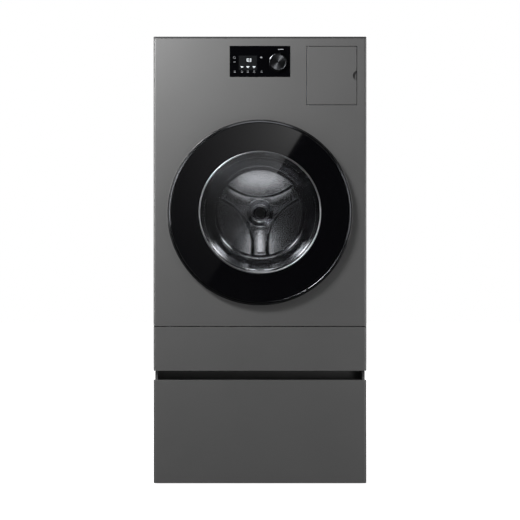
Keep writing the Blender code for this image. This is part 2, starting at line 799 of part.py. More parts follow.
def counterweight():
    bottom = AXIS_Z + TUB_RADIUS + GAP
    x = (-COUNTERWEIGHT_WIDTH / 2, COUNTERWEIGHT_WIDTH / 2)
    y = (FRONT_Y + COUNTERWEIGHT_SET_BACK, FRONT_Y + COUNTERWEIGHT_SET_BACK + COUNTERWEIGHT_LENGTH)
    box("counterweight", x, y, (bottom, bottom + COUNTERWEIGHT_HEIGHT), "cast_iron", 0.010, segments=1)


# ---------------------------------------------------------------- what stands on the base
def detergent_box():
    x = (-INNER_X + 0.030, -0.020)
    y = (BASE_FRONT_Y + BASE_WALL + LOOSE, BASE_FRONT_Y + 0.240)
    z = (BASE_FLOOR, BASE_FLOOR + DETERGENT_HEIGHT)
    tank = box("detergent_box", x, y, z, "white_plastic", 0.003, segments=1)
    middle = sum(x) / 2
    wells = [
        box(f"detergent well {count}", limits, grown(y, -0.006), (z[0] + 0.004, z[1] + LOOSE), None)
        for count, limits in enumerate(((x[0] + 0.004, middle - 0.002), (middle + 0.002, x[1] - 0.004)))
    ]
    return cut(tank, *wells)


def pump_place():
    return SIDE_X - 0.150, BASE_FRONT_Y + 0.020, BASE_FLOOR + PUMP_HEIGHT / 2 + 0.002


def drain_pump():
    x, front_y, z = pump_place()
    body = box("drain_pump", (x - 0.075, x + 0.075), (front_y, front_y + 0.110),
               (BASE_FLOOR, BASE_FLOOR + PUMP_HEIGHT), "grey_plastic", 0.004, segments=1)
    socket = rod("filter cap socket", (x, front_y, z), CAP_RADIUS + LOOSE, 2 * CAP_LENGTH, sides=32)
    motor_body = rod("pump motor", (x, front_y + 0.130, z), 0.030, 0.060)
    cut(join(body, motor_body), socket)
    cap_profile = (
        (0, 0.004),
        (CAP_RADIUS - 0.003, 0.004),
        (CAP_RADIUS, 0.001),
        (CAP_RADIUS, 0.004 - CAP_LENGTH),
        (0, 0.004 - CAP_LENGTH),
    )
    cap = turned("drain_filter_cap", cap_profile, "blue_plastic", (x, front_y, z), steps=32)
    bar_x, bar_z = grown((x, x), 0.004), grown((z, z), CAP_RADIUS - 0.006)
    bar = box("cap bar", bar_x, (front_y - 0.010, front_y), bar_z, None)
    join(cap, bar)
    carry(pivot("drain_cap_pivot", (x, front_y, z)), cap)


def fin_block(name, x, y, z):
    """Upright fins between two plates, with air channels from front to back."""
    block = box(name, x, y, z, "aluminium_fins")
    pitch = (x[1] - x[0] - FIN_THICKNESS) / FIN_CHANNELS
    for count in range(FIN_CHANNELS):
        low = x[0] + FIN_THICKNESS + pitch * count
        channel = box(f"{name} channel {count}", (low, low + pitch - FIN_THICKNESS), grown(y, LOOSE),
                      grown(z, -2 * FIN_THICKNESS), None)
        cut(block, channel)
    return block


def heat_pump():
    x = (DAMPER_X - 0.030 - COIL_WIDTH, DAMPER_X - 0.030)
    z = (BASE_FLOOR, BASE_FLOOR + COIL_HEIGHT)
    front = FRONT_Y + 0.330
    middle = front + EVAPORATOR_DEPTH
    fin_block("evaporator", x, (front, middle), z)
    fin_block("condenser", x, (middle + 0.010, middle + 0.010 + CONDENSER_DEPTH), z)
    dome = COMPRESSOR_RADIUS * 0.35
    r = COMPRESSOR_RADIUS
    profile = (
        (0, COMPRESSOR_HEIGHT),
        (r * 0.6, COMPRESSOR_HEIGHT - dome * 0.25),
        (r, COMPRESSOR_HEIGHT - dome),
        (r, dome * 0.5),
        (r * 1.15, dome * 0.3),
        (r * 1.15, 0),
        (0, 0),
    )
    where = (-INNER_X + r * 1.15 + 0.012, INNER_BACK_Y - r * 1.15 - 0.060, BASE_FLOOR)
    turned("compressor", profile, "black_enamel", where, UPRIGHT, 32)


def blower():
    """A scroll on the base with the duct that leads up from it, and the wheel that turns in it."""
    r = BLOWER_RADIUS
    outer = r + SCROLL_WALL + 0.006
    x_mid = DAMPER_X + 0.075
    y_mid = INNER_BACK_Y - outer - 0.080
    z_mid = BASE_FLOOR + outer
    half = BLOWER_THICKNESS / 2 + SCROLL_WALL
    scroll = rod("air_duct", (x_mid, y_mid, z_mid), outer, 2 * half, "grey_plastic", FACING_RIGHT, 32)
    duct_x = (INNER_X - LOOSE - DUCT_THICKNESS, INNER_X - LOOSE)
    duct_y = (y_mid, y_mid + DUCT_WIDTH)
    duct_z = (z_mid, AXIS_Z + tub_height_at(DAMPER_X))
    riser = box("duct riser", duct_x, duct_y, duct_z, None)
    bridge_z = grown((z_mid, z_mid), 0.030)
    bridge = box("duct bridge", (x_mid, duct_x[1]), (y_mid, y_mid + outer), bridge_z, None)
    hollow = rod("scroll hollow", (x_mid, y_mid, z_mid), r + 0.006, BLOWER_THICKNESS, turn=FACING_RIGHT)
    inlet = rod("scroll inlet", (x_mid - half, y_mid, z_mid), r * 0.6, 4 * SCROLL_WALL, turn=FACING_RIGHT)
    shaft = box(
        "duct hollow",
        grown(duct_x, -SCROLL_WALL),
        grown(duct_y, -SCROLL_WALL),
        (duct_z[0] + SCROLL_WALL, duct_z[1] + LOOSE),
        None,
    )
    cut(join(scroll, riser, bridge), hollow, inlet, shaft)
    width = BLOWER_THICKNESS - 0.010
    profile = (
        (0, width / 2 - 0.030),
        (r * 0.55, width / 2 - 0.030),
        (r * 0.62, width / 2),
        (r, width / 2),
        (r, -width / 2),
        (0, -width / 2),
    )
    wheel = turned("blower_wheel", profile, "black_plastic", (x_mid, y_mid, z_mid), (0, -pi / 2, 0), 32)
    carry(pivot("blower_pivot", (x_mid, y_mid, z_mid)), wheel)


def rear_fitting_pieces():
    end = BACK_Y + CONNECTOR_PROUD
    cold, hot, drain, gland = rear_fittings()
    body_x = (cold[1] - 0.025, hot[1] + 0.025)
    inner_y = INNER_BACK_Y - 0.050
    valve = box("water_inlet_valve", body_x, (inner_y, INNER_BACK_Y), (cold[2] - 0.03, cold[2] + 0.03),
                "white_plastic", 0.003, segments=1)
    stub_y = (INNER_BACK_Y - 0.010, end)
    stubs = [rod(f"{label} stub", (x, sum(stub_y) / 2, z), radius, stub_y[1] - stub_y[0])
             for label, x, z, radius in (cold, hot)]
    join(valve, *stubs)
    for name, (_, x, z, radius), finish, reach in (
        ("drain_outlet", drain, "grey_plastic", 0.018),
        ("cord_gland", gland, "black_plastic", 0.012),
    ):
        profile = (
            (0, reach),
            (radius * 0.8, reach),
            (radius, reach - 0.004),
            (radius, -SHEET - GAP),
            (radius + 0.006, -SHEET - GAP),
            (radius + 0.006, -SHEET - 0.008),
            (0, -SHEET - 0.008),
        )
        turned(name, profile, finish, (x, BACK_Y, z), (-pi / 2, 0, 0), 24)


# ---------------------------------------------------------------- the loading door
def seat_ring():
    outer = DOOR_RADIUS + SEAT_RING_MARGIN
    profile = (
        (outer - SEAT_RING_WIDTH, GAP),
        (outer - SEAT_RING_WIDTH, SEAT_RING_THICKNESS),
        (outer - 0.0015, SEAT_RING_THICKNESS),
        (outer, SEAT_RING_THICKNESS - 0.0015),
        (outer, GAP),
    )
    ring = turned("door_seat_ring", profile, "black_plastic")
    x = (HINGE_X - HINGE_FOOT_OUT - LOOSE, HINGE_X + HINGE_FOOT_IN + 2 * LOOSE)
    z = grown((AXIS_Z, AXIS_Z), HINGE_HALF_SPACING + HINGE_FOOT_END + LOOSE)
    notch = box("hinge notch", x, (FRONT_Y - 0.01, FRONT_Y + 0.01), z, None)
    return cut(ring, notch)


def hinge_heights():
    return [AXIS_Z - HINGE_HALF_SPACING, AXIS_Z + HINGE_HALF_SPACING]


def door_hinge():
    """A foot screwed to the panel, two lugs that reach into the door's rim, and the pin between them."""
    z = grown((AXIS_Z, AXIS_Z), HINGE_HALF_SPACING + HINGE_FOOT_END)
    foot_y = (FRONT_Y - HINGE_FOOT_THICKNESS, FRONT_Y - GAP)
    foot_x = (HINGE_X - HINGE_FOOT_OUT, HINGE_X + HINGE_FOOT_IN)
    foot = box("door_hinge", foot_x, foot_y, z, "galvanised_steel")
    for count, height in enumerate(hinge_heights()):
        lug_z = grown((height, height), LUG_THICKNESS / 2)
        arm_x = grown((HINGE_X, HINGE_X), LUG_HALF_WIDTH)
        arm = box(f"hinge arm {count}", arm_x, (HINGE_Y, foot_y[0] + LOOSE), lug_z, None)
        nose = rod(f"hinge nose {count}", (HINGE_X, HINGE_Y, height), LUG_NOSE, LUG_THICKNESS, turn=UPRIGHT)
        join(foot, arm, nose)
    pin = rod("hinge pin", (HINGE_X, HINGE_Y, AXIS_Z), HINGE_PIN_RADIUS, 2 * HINGE_HALF_SPACING, turn=UPRIGHT,
              sides=16)
    return join(foot, pin)


def door():
    proud, rear = DOOR_PROUD, DOOR_REAR_GAP
    r = DOOR_RADIUS
    seat = proud - GLASS_THICKNESS - GAP
    glass_radius = r - DOOR_CHAMFER - 0.0011
    flange = WINDOW_RADIUS + 0.0055 + BOWL_FLANGE - 0.0015
    profile = (
        (r - DOOR_CHAMFER, proud),
        (r, proud - 0.0045),
        (r, rear + 0.005),
        (r - 0.0015, rear + 0.0015),
        (r - 0.005, rear),
        (WINDOW_RADIUS + 0.0195, rear),
        (WINDOW_RADIUS + 0.0055, rear + 0.0065),
        (WINDOW_RADIUS + 0.0055, seat - BOWL_WALL - 2 * GAP),
        (flange + GAP, seat - BOWL_WALL - 2 * GAP),
        (flange + GAP, seat),
        (glass_radius + GAP, seat),
        (glass_radius + GAP, proud),
    )
    frame = turned("door_frame", profile, "black_plastic")
    slots = []
    for count, height in enumerate(hinge_heights()):
        slot_z = grown((height, height), LUG_THICKNESS / 2 + LOOSE)
        slots.append(box(f"lug slot {count}", (-r - 0.01, HINGE_X + LUG_NOSE + LOOSE),
                         (FRONT_Y - proud + DOOR_SKIN, FRONT_Y), slot_z, None))
    pin_hole = rod("pin hole", (HINGE_X, HINGE_Y, AXIS_Z), HINGE_PIN_RADIUS + 0.0004,
                   2 * HINGE_HALF_SPACING, turn=UPRIGHT, sides=16)
    cut(frame, *slots, pin_hole)
    glass_profile = (
        (0, proud),
        (glass_radius - 0.0006, proud),
        (glass_radius, proud - 0.0006),
        (glass_radius, seat + GAP),
        (0, seat + GAP),
    )
    glass = turned("door_glass", glass_profile, "black_glass")
    hook_x, hook_z = hook_limits()
    hook = box("door_hook", hook_x, (FRONT_Y - rear + GAP, FRONT_Y + HOOK_REACH), hook_z, "galvanised_steel")
    tooth_y = (FRONT_Y + HOOK_REACH - 0.006, FRONT_Y + HOOK_REACH)
    tooth = box("hook tooth", (hook_x[0] - 0.004, hook_x[1]), tooth_y, hook_z, None)
    join(hook, tooth)
    moving = (frame, glass, door_bowl(seat, flange), hook)
    carry(pivot("door_pivot", (HINGE_X, HINGE_Y, AXIS_Z)), *moving)


def door_bowl(seat, flange):
    """The glass bowl: a rim held between frame and door glass, sides that narrow, and a nearly flat back."""
    w = WINDOW_RADIUS
    back = BOWL_BACK_RADIUS
    wall = BOWL_WALL
    profile = (
        (0, -BOWL_DEPTH),
        (back * 0.75, -BOWL_DEPTH + 0.002),
        (back, -BOWL_DEPTH + 0.009),
        (back + 0.014, -BOWL_DEPTH + 0.026),
        (w - 0.010, -0.002),
        (w, seat - GAP),
        (flange, seat - GAP),
        (flange, seat - wall),
        (w + wall, seat - wall),
        (w - 0.010 + wall, -0.004),
        (back + 0.014 + wall, -BOWL_DEPTH + 0.025),
        (back + wall * 0.8, -BOWL_DEPTH + 0.005),
        (back * 0.75, -BOWL_DEPTH - wall + 0.001),
        (0, -BOWL_DEPTH - wall),
    )
    return turned("door_bowl", profile, "clear_glass")


def door_lock():
    hook_x, hook_z = hook_limits(0.004)
    y = (FRONT_Y + SHEET + GAP, FRONT_Y + SHEET + 0.034)
    lock = box("door_lock", (hook_x[0] - 0.004, hook_x[1] + 0.010), y, (AXIS_Z - 0.040, AXIS_Z + 0.040),
               "black_plastic", 0.002, segments=1)
    slot_y = (y[0] - LOOSE, FRONT_Y + HOOK_REACH + 0.004)
    slot = box("lock slot", (hook_x[0] - 0.001, hook_x[1]), slot_y, hook_z, None)
    return cut(lock, slot)


# ---------------------------------------------------------------- the lower flap
def flap_axis():
    return FRONT_Y + FLAP_AXIS_INSET, FLAP_BOTTOM + FLAP_AXIS_INSET


def lower_flap():
    y = (FRONT_Y, FRONT_Y + FLAP_THICKNESS)
    flap = tray("lower_flap", (-SIDE_X, SIDE_X), y, (FLAP_BOTTOM, FLAP_TOP), FLAP_WALL, "graphite_steel")
    axis_y, axis_z = flap_axis()
    for side in (-1, 1):
        middle = side * FLAP_HINGE_SPACING / 2
        half = FLAP_LUG_WIDTH / 2 + LOOSE
        slot = box(f"flap slot {side}", grown((middle, middle), half), (FRONT_Y + FLAP_WALL, y[1] + LOOSE),
                   (FLAP_BOTTOM - LOOSE, FLAP_BOTTOM + FLAP_WALL + LOOSE), None)
        cut(flap, slot)
        for edge in (-1, 1):
            rib_x = sorted(middle + edge * (half + reach) for reach in (RIB_OFFSET, RIB_OFFSET + FLAP_WALL))
            rib = box(f"flap rib {side} {edge}", rib_x, (FRONT_Y + LOOSE, axis_y + 0.006),
                      (FLAP_BOTTOM + LOOSE, axis_z + 0.006), None)
            join(flap, rib)
        pin = rod(f"flap pin {side}", (middle, axis_y, axis_z), FLAP_PIN_RADIUS, 2 * (half + FLAP_WALL),
                  turn=FACING_RIGHT, sides=16)
        join(flap, pin)
    reach = (SCOOP_WIDTH ** 2 / 4 + SCOOP_DEPTH ** 2) / (2 * SCOOP_DEPTH)
    scoop_at = (0, FRONT_Y, FLAP_TOP - SCOOP_DEPTH + reach)
    scoop = rod("flap scoop", scoop_at, reach, 2 * FLAP_WALL * 0.6, sides=48)
    cut(flap, scoop)
    carry(pivot("lower_flap_pivot", (0, axis_y, axis_z)), flap)


# ---------------------------------------------------------------- pedestal and drawer
def pedestal_limits():
    half = SIDE_X - PEDESTAL_INSET
    front = FRONT_Y + DRAWER_FRONT_THICKNESS + LOOSE
    return (-half, half), (front, BACK_Y - PEDESTAL_REAR_STEP), (PEDESTAL_CLEARANCE, DECK_TOP)


def pedestal_frame():
    """A box of sheet steel, open in front between two cheeks, with a dished grip space over the drawer."""
    x, y, z = pedestal_limits()
    frame = box("pedestal_frame", x, y, z, "graphite_steel")
    grip_y = y[0] + GRIP_DEPTH
    grip_z = DRAWER_TOP - 0.006
    mouth_x = grown(x, -PEDESTAL_CHEEK)
    inner_x = grown(x, -PEDESTAL_SHEET)
    inner_y = (y[0] + PEDESTAL_SHEET, y[1] - PEDESTAL_SHEET)
    floor = z[0] + PEDESTAL_SHEET
    mouth = box("drawer mouth", mouth_x, (y[0] - LOOSE, inner_y[0] + LOOSE), (floor, grip_z), None)
    cavity = box("drawer space", inner_x, inner_y, (floor, grip_z), None)
    upper = box("drawer space top", inner_x, (grip_y + GRIP_RAIL, inner_y[1]),
                (grip_z - LOOSE, z[1] - PEDESTAL_DECK), None)
    grip = box("grip space", mouth_x, (y[0] - LOOSE, grip_y), (grip_z - LOOSE, z[1] + LOOSE), None)
    return cut(frame, mouth, cavity, upper, grip)


def pedestal_feet():
    _, y, z = pedestal_limits()
    height = z[0] - GAP
    for name, x, foot_y in foot_places(SIDE_X - FOOT_INSET, y[0] + FOOT_INSET, y[1] - FOOT_INSET):
        r = PEDESTAL_FOOT_RADIUS
        profile = ((0, height), (r * 0.6, height), (r, height * 0.5), (r, 0), (0, 0))
        turned(f"pedestal_foot_{name}", profile, "black_plastic", (x, foot_y, 0), UPRIGHT, 24)


def drawer():
    x, y, z = pedestal_limits()
    front_y = (FRONT_Y, FRONT_Y + DRAWER_FRONT_THICKNESS)
    front_z = (FLOOR_CLEARANCE, DRAWER_TOP)
    front = tray("drawer_front", (-SIDE_X, SIDE_X), front_y, front_z, SHEET, "graphite_steel")
    half = x[1] - PEDESTAL_CHEEK - SLIDE_SPACE
    box_z = (z[0] + PEDESTAL_SHEET + DRAWER_BOX_FLOOR_GAP, DRAWER_TOP - DRAWER_BOX_DROP)
    box_y = (front_y[1] + GAP, y[1] - DRAWER_BACK_GAP)
    tub_box = box("drawer_box", (-half, half), box_y, box_z, "galvanised_steel")
    inside = box("drawer inside", grown((-half, half), -DRAWER_WALL), grown(box_y, -DRAWER_WALL),
                 (box_z[0] + DRAWER_WALL, box_z[1] + LOOSE), None)
    cut(tub_box, inside)
    moving = [front, tub_box]
    slide_z = (SLIDE_Z, SLIDE_Z + SLIDE_HEIGHT)
    middle = SLIDE_SPACE / 2
    for name, side in (("left", -1), ("right", 1)):
        inner = sorted((side * (half + GAP), side * (half + middle - GAP)))
        outer = sorted((side * (half + middle), side * (x[1] - PEDESTAL_SHEET - GAP)))
        moving.append(box(f"drawer_slide_{name}", inner, (box_y[0] + 0.010, box_y[1] - 0.010),
                          grown(slide_z, -0.006), "stainless_steel", 0.002, segments=1))
        rail = box(f"drawer_rail_{name}", outer, (y[0] + 0.006, y[1] - 0.030), slide_z, "galvanised_steel")
        groove_x = sorted((side * (half + middle - LOOSE), side * (half + SLIDE_SPACE - GAP - 0.003)))
        groove = box(f"rail groove {name}", groove_x, (y[0], y[1]), grown(slide_z, -0.004), None)
        cut(rail, groove)
    carry(pivot("drawer_pivot", (0, FRONT_Y, sum(box_z) / 2)), *moving)


def build():
    front_panel()
    side_panels()
    back_panel()
    top_cover()
    base_frame()
    machine_feet()
    control_window()
    dial()
    filter_set()
    tub()
    door_gasket()
    drum_group()
    springs()
    dampers()
    counterweight()
    detergent_box()
    drain_pump()
    heat_pump()
    blower()
    rear_fitting_pieces()
    seat_ring()
    door_hinge()
    door()
    door_lock()
    lower_flap()
    pedestal_frame()
    pedestal_feet()
    drawer()


build()
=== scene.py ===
# %% [markdown]
# # A washer dryer on its drawer pedestal
#
# The real machine is one wide steel cabinet with a black glass door, a small display with a dial, and a
# lint filter door. It stands on a steel pedestal with a drawer. The working model is already made: every
# piece has its place and its joints. This lesson gives it the surfaces that the eye sees.
#
# Anything that is the right shape already only gets a better material. Anything the eye rests on, such as
# the door and the drum, is turned or pressed again here with a finer surface.

import json
from math import cos, pi, radians, sin, sqrt

import bmesh
import bpy
from mathutils import Matrix, Vector


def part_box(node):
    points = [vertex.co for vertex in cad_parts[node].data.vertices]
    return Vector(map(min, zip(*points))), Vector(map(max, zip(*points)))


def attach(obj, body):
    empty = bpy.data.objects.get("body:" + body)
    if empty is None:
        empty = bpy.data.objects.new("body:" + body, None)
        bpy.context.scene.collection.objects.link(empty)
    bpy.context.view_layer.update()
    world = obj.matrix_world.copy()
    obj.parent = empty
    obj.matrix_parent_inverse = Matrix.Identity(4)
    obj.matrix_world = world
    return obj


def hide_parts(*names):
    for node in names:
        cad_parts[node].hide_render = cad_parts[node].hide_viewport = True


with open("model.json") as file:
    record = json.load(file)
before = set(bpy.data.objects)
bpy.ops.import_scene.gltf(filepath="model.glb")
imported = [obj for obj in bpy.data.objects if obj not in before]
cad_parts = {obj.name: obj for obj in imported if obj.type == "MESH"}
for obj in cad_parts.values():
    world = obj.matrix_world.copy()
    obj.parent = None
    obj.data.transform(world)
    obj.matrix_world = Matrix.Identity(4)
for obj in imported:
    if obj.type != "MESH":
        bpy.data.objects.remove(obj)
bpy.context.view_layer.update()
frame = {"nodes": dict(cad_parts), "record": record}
nodes = frame["nodes"]

# %% [markdown]
# ## Measures
#
# Every place is read from the working model, so that a changed model moves the looks with it. The front
# skin is the plane the door hangs on, and all turned pieces share the axis through the door's middle.

# %% Read the main measures
MM = 0.001
panel_low, panel_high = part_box("front_panel")
FRONT_Y = panel_low.y
door_low, door_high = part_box("door_glass")
DOOR_X = (door_low.x + door_high.x) / 2
DOOR_Z = (door_low.z + door_high.z) / 2
DOOR_FACE = FRONT_Y - door_low.y
GLASS_RADIUS = (door_high.x - door_low.x) / 2
rim_low, rim_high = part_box("door_frame")
RIM_RADIUS = (rim_high.z - rim_low.z) / 2
seat_low, seat_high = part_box("door_seat_ring")
SEAT_RADIUS = (seat_high.z - seat_low.z) / 2
drum_box_low, drum_box_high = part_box("drum")
DRUM_RADIUS = (drum_box_high.z - drum_box_low.z) / 2
AXIS = Vector((DOOR_X, FRONT_Y, DOOR_Z))
print(f"door axis at height {DOOR_Z:.3f}, rim radius {RIM_RADIUS:.4f}, glass face {DOOR_FACE:.4f} proud")


# %% [markdown]
# ## Colour and nodes
#
# Colours are written as the hex values a paint chart would give. Blender mixes light in linear values, so
# one function turns hex to linear. One more adds a node, with its settings and links, to a material.

# %% Helpers for colour and nodes
def linear(code, alpha=1.0):
    """An sRGB hex colour such as "5a5b5d" as the linear RGBA that a shader takes."""
    parts = [int(code[start:start + 2], 16) / 255 for start in (0, 2, 4)]
    return (*[p / 12.92 if p <= 0.04045 else ((p + 0.055) / 1.055) ** 2.4 for p in parts], alpha)


def add_node(tree, kind, links=None, **settings):
    """A new node. settings fill its sockets by name with _ for a space, or its own properties."""
    made = tree.nodes.new(kind)
    for name, value in settings.items():
        socket = made.inputs.get(name.replace("_", " "))
        if socket is None:
            setattr(made, name, value)
        else:
            socket.default_value = value
    for name, output in (links or {}).items():
        tree.links.new(output, made.inputs[name])
    return made


def new_material(name, colour, metallic=0.0, roughness=0.5, **more):
    """A material with a Principled shader, its tree and its shader, ready for detail."""
    made = bpy.data.materials.new(name)
    made.use_nodes = True
    made.diffuse_color = linear(colour)
    shader = made.node_tree.nodes["Principled BSDF"]
    values = {"Base Color": linear(colour), "Metallic": metallic, "Roughness": roughness, **more}
    for socket, value in values.items():
        shader.inputs[socket].default_value = value
    return made, made.node_tree, shader


def object_position(tree):
    return tree.nodes.new("ShaderNodeTexCoord").outputs["Object"]


def fine_grain(tree, shader, grain_mm, depth_mm, low, high, stretch=(1, 1, 1), detail=3.0):
    """Noise of the given grain size, as bump and as a roughness that runs from low to high."""
    place = add_node(tree, "ShaderNodeMapping", {"Vector": object_position(tree)}, Scale=stretch)
    noise = add_node(tree, "ShaderNodeTexNoise", {"Vector": place.outputs["Vector"]},
                     Scale=1 / (grain_mm * MM), Detail=detail)
    spread = add_node(tree, "ShaderNodeMapRange", {"Value": noise.outputs["Fac"]},
                      To_Min=low, To_Max=high)
    tree.links.new(spread.outputs["Result"], shader.inputs["Roughness"])
    bump = add_node(tree, "ShaderNodeBump", {"Height": noise.outputs["Fac"]},
                    Distance=depth_mm * MM, Strength=1.0)
    tree.links.new(bump.outputs["Normal"], shader.inputs["Normal"])
    return noise


def tint(tree, shader, noise_scale_mm, dark, light):
    """Slow change of colour over the surface, as a real coating has."""
    noise = add_node(tree, "ShaderNodeTexNoise", {"Vector": object_position(tree)},
                     Scale=1 / (noise_scale_mm * MM), Detail=2.0)
    ramp = add_node(tree, "ShaderNodeMix", {"Factor": noise.outputs["Fac"]}, data_type="RGBA")
    ramp.inputs[6].default_value = linear(dark)
    ramp.inputs[7].default_value = linear(light)
    tree.links.new(ramp.outputs[2], shader.inputs["Base Color"])
    return noise


print("a mid grey chip is", [round(v, 3) for v in linear("808080")[:3]])

# %% [markdown]
# ## Finishes of the outside
#
# The cabinet is sheet steel under a graphite coating that holds fine metal flake. It could be one flat grey,
# but the flake spreads a lamp's light into a soft, wide glow, so the coating is part metal and rough, with a
# very fine grain. The door and the display are black tempered glass: nearly black, and smooth as a mirror.

# %% Graphite coated steel
GRAPHITE = "5b5b5b"
FLAKE_MM = 0.9  # real flake is under 0.1 mm, drawn coarser so that it shows at all
graphite, tree, shader = new_material("graphite_coated_steel", GRAPHITE, metallic=0.75, roughness=0.42)
tint(tree, shader, 140, "595959", "5d5d5d")
fine_grain(tree, shader, FLAKE_MM, 0.004, 0.40, 0.46)

black_coat, tree, shader = new_material("matt_black_coated_steel", "1b1b1c", metallic=0.2, roughness=0.45)
fine_grain(tree, shader, 1.2, 0.01, 0.40, 0.52)
print("coated steel:", [finish.name for finish in (graphite, black_coat)])

# %% Black and clear tempered glass
black_glass, tree, shader = new_material("black_tempered_glass", "030304", roughness=0.03, IOR=1.5)
tint(tree, shader, 300, "020203", "040405")

clear_glass, tree, shader = new_material("clear_pressed_glass", "f5f5f6", roughness=0.0, IOR=1.12)
shader.inputs["Transmission Weight"].default_value = 1.0
wave = add_node(tree, "ShaderNodeTexNoise", {"Vector": object_position(tree)}, Scale=14.0, Detail=0.0)
swell = add_node(tree, "ShaderNodeBump", {"Height": wave.outputs["Fac"]}, Distance=0.2 * MM)
tree.links.new(swell.outputs["Normal"], shader.inputs["Normal"])

window_glass, tree, shader = new_material("clear_tempered_glass", "dbdcde", roughness=0.0, IOR=1.5)
shader.inputs["Transmission Weight"].default_value = 1.0
haze = add_node(tree, "ShaderNodeTexNoise", {"Vector": object_position(tree)}, Scale=30.0)
haze_range = add_node(tree, "ShaderNodeMapRange", {"Value": haze.outputs["Fac"]}, To_Min=0.0, To_Max=0.01)
tree.links.new(haze_range.outputs["Result"], shader.inputs["Roughness"])
print("glass:", [finish.name for finish in (black_glass, clear_glass, window_glass)])

# %% [markdown]
# ## Metals
#
# The drum is pressed from polished stainless steel. The pedestal's rails and the back are zinc-coated sheet,
# whose crystals show as faint patches. The thin lines round the door and the dial are chromed plastic.

# %% Chrome, stainless steel and zinc-coated steel
chrome, tree, shader = new_material("satin_chrome", "8b8c8f", metallic=1.0, roughness=0.34)
fine_grain(tree, shader, 2.0, 0.002, 0.30, 0.38)

dark_chrome, tree, shader = new_material("smoked_chrome", "4a4b4e", metallic=1.0, roughness=0.20)
fine_grain(tree, shader, 2.0, 0.002, 0.17, 0.25)

stainless, tree, shader = new_material("polished_stainless_steel", "9d9ea0", metallic=1.0, roughness=0.16)
fine_grain(tree, shader, 3.0, 0.003, 0.15, 0.22, stretch=(1, 0.15, 1))

zinc, tree, shader = new_material("zinc_coated_steel", "9fa2a4", metallic=0.9, roughness=0.42)
SPANGLE_MM = 9
crystals = add_node(tree, "ShaderNodeTexVoronoi", {"Vector": object_position(tree)},
                    Scale=1 / (SPANGLE_MM * MM))
patch = add_node(tree, "ShaderNodeMapRange", {"Value": crystals.outputs["Color"]}, To_Min=0.32, To_Max=0.5)
tree.links.new(patch.outputs["Result"], shader.inputs["Roughness"])
shade = add_node(tree, "ShaderNodeMix", {"Factor": crystals.outputs["Color"]}, data_type="RGBA")
shade.inputs[6].default_value = linear("8f9294")
shade.inputs[7].default_value = linear("a6a9ab")
tree.links.new(shade.outputs[2], shader.inputs["Base Color"])
print("metals:", [finish.name for finish in (chrome, dark_chrome, stainless, zinc)])

# %% [markdown]
# ## Plastics, rubber and what is inside
#
# Mouldings come out of an etched tool, so they have a fine leather-like grain and a soft shine. Rubber is
# rougher and never quite black. The inner parts are seen only when a door is open, and get plain but true
# finishes: wound copper, rolled aluminium fins, cast iron and enamel.

# %% Mouldings
def moulded(name, colour, low, high, grain_mm=0.8, depth_mm=0.012):
    made, tree, shader = new_material(name, colour, roughness=(low + high) / 2)
    fine_grain(tree, shader, grain_mm, depth_mm, low, high)
    return made


black_abs = moulded("black_textured_abs", "111112", 0.38, 0.52)
gloss_black_abs = moulded("gloss_black_abs", "08080a", 0.10, 0.16, 2.0, 0.002)
rubber = moulded("moulded_epdm_rubber", "2a2a2c", 0.62, 0.78, 0.6, 0.02)
white_pp = moulded("white_polypropylene", "d9d9d4", 0.42, 0.55, 1.2, 0.01)
grey_pp = moulded("grey_polypropylene", "6e7073", 0.42, 0.55, 1.2, 0.01)
blue_abs = moulded("blue_touch_point_abs", "2a5f9e", 0.30, 0.42, 1.0, 0.008)
board_green = moulded("green_solder_mask", "14502f", 0.25, 0.40, 2.5, 0.01)
black_enamel = moulded("black_stove_enamel", "141415", 0.16, 0.28, 3.0, 0.01)
iron = moulded("cast_iron", "3a3936", 0.65, 0.85, 1.6, 0.15)
print("finishes so far:", len(bpy.data.materials))

# %% Copper, aluminium
copper, tree, shader = new_material("enamelled_copper_wire", "a8562f", metallic=1.0, roughness=0.32)
fine_grain(tree, shader, 1.5, 0.15, 0.25, 0.40, stretch=(1, 4, 1))
aluminium, tree, shader = new_material("rolled_aluminium", "c9cbce", metallic=1.0, roughness=0.36)
fine_grain(tree, shader, 1.0, 0.01, 0.30, 0.44, stretch=(1, 1, 0.2))
print("finishes so far:", len(bpy.data.materials))

# %% [markdown]
# ## Give the working model its finishes
#
# Each working piece names its material slot, so one small table dresses all of them. Glazing, seals and
# skins that the eye rests on are replaced further down.

# %% Dress every working piece
FINISH_OF_SLOT = {
    "graphite_steel": graphite,
    "black_cover": black_coat,
    "black_glass": black_glass,
    "clear_glass": clear_glass,
    "black_plastic": black_abs,
    "grey_rubber": rubber,
    "stainless_steel": stainless,
    "galvanised_steel": zinc,
    "white_plastic": white_pp,
    "grey_plastic": grey_pp,
    "blue_plastic": blue_abs,
    "cast_iron": iron,
    "aluminium_fins": aluminium,
    "copper_winding": copper,
    "circuit_board": board_green,
    "black_enamel": black_enamel,
}
slot_of_node = {part["node"]: part["material_slot"] for part in frame["record"]["subparts"]}
for name, item in nodes.items():
    item.data.materials.clear()
    item.data.materials.append(FINISH_OF_SLOT[slot_of_node[name]])
print("dressed", len(nodes), "working pieces in", len(set(slot_of_node.values())), "finishes")


# %% [markdown]
# ## Making pieces
#
# Three ways of making cover nearly all of this machine: turning a profile about the door's axis, as glass
# and rings are; pressing a panel with rounded edges; and cutting openings. Each is one short function.

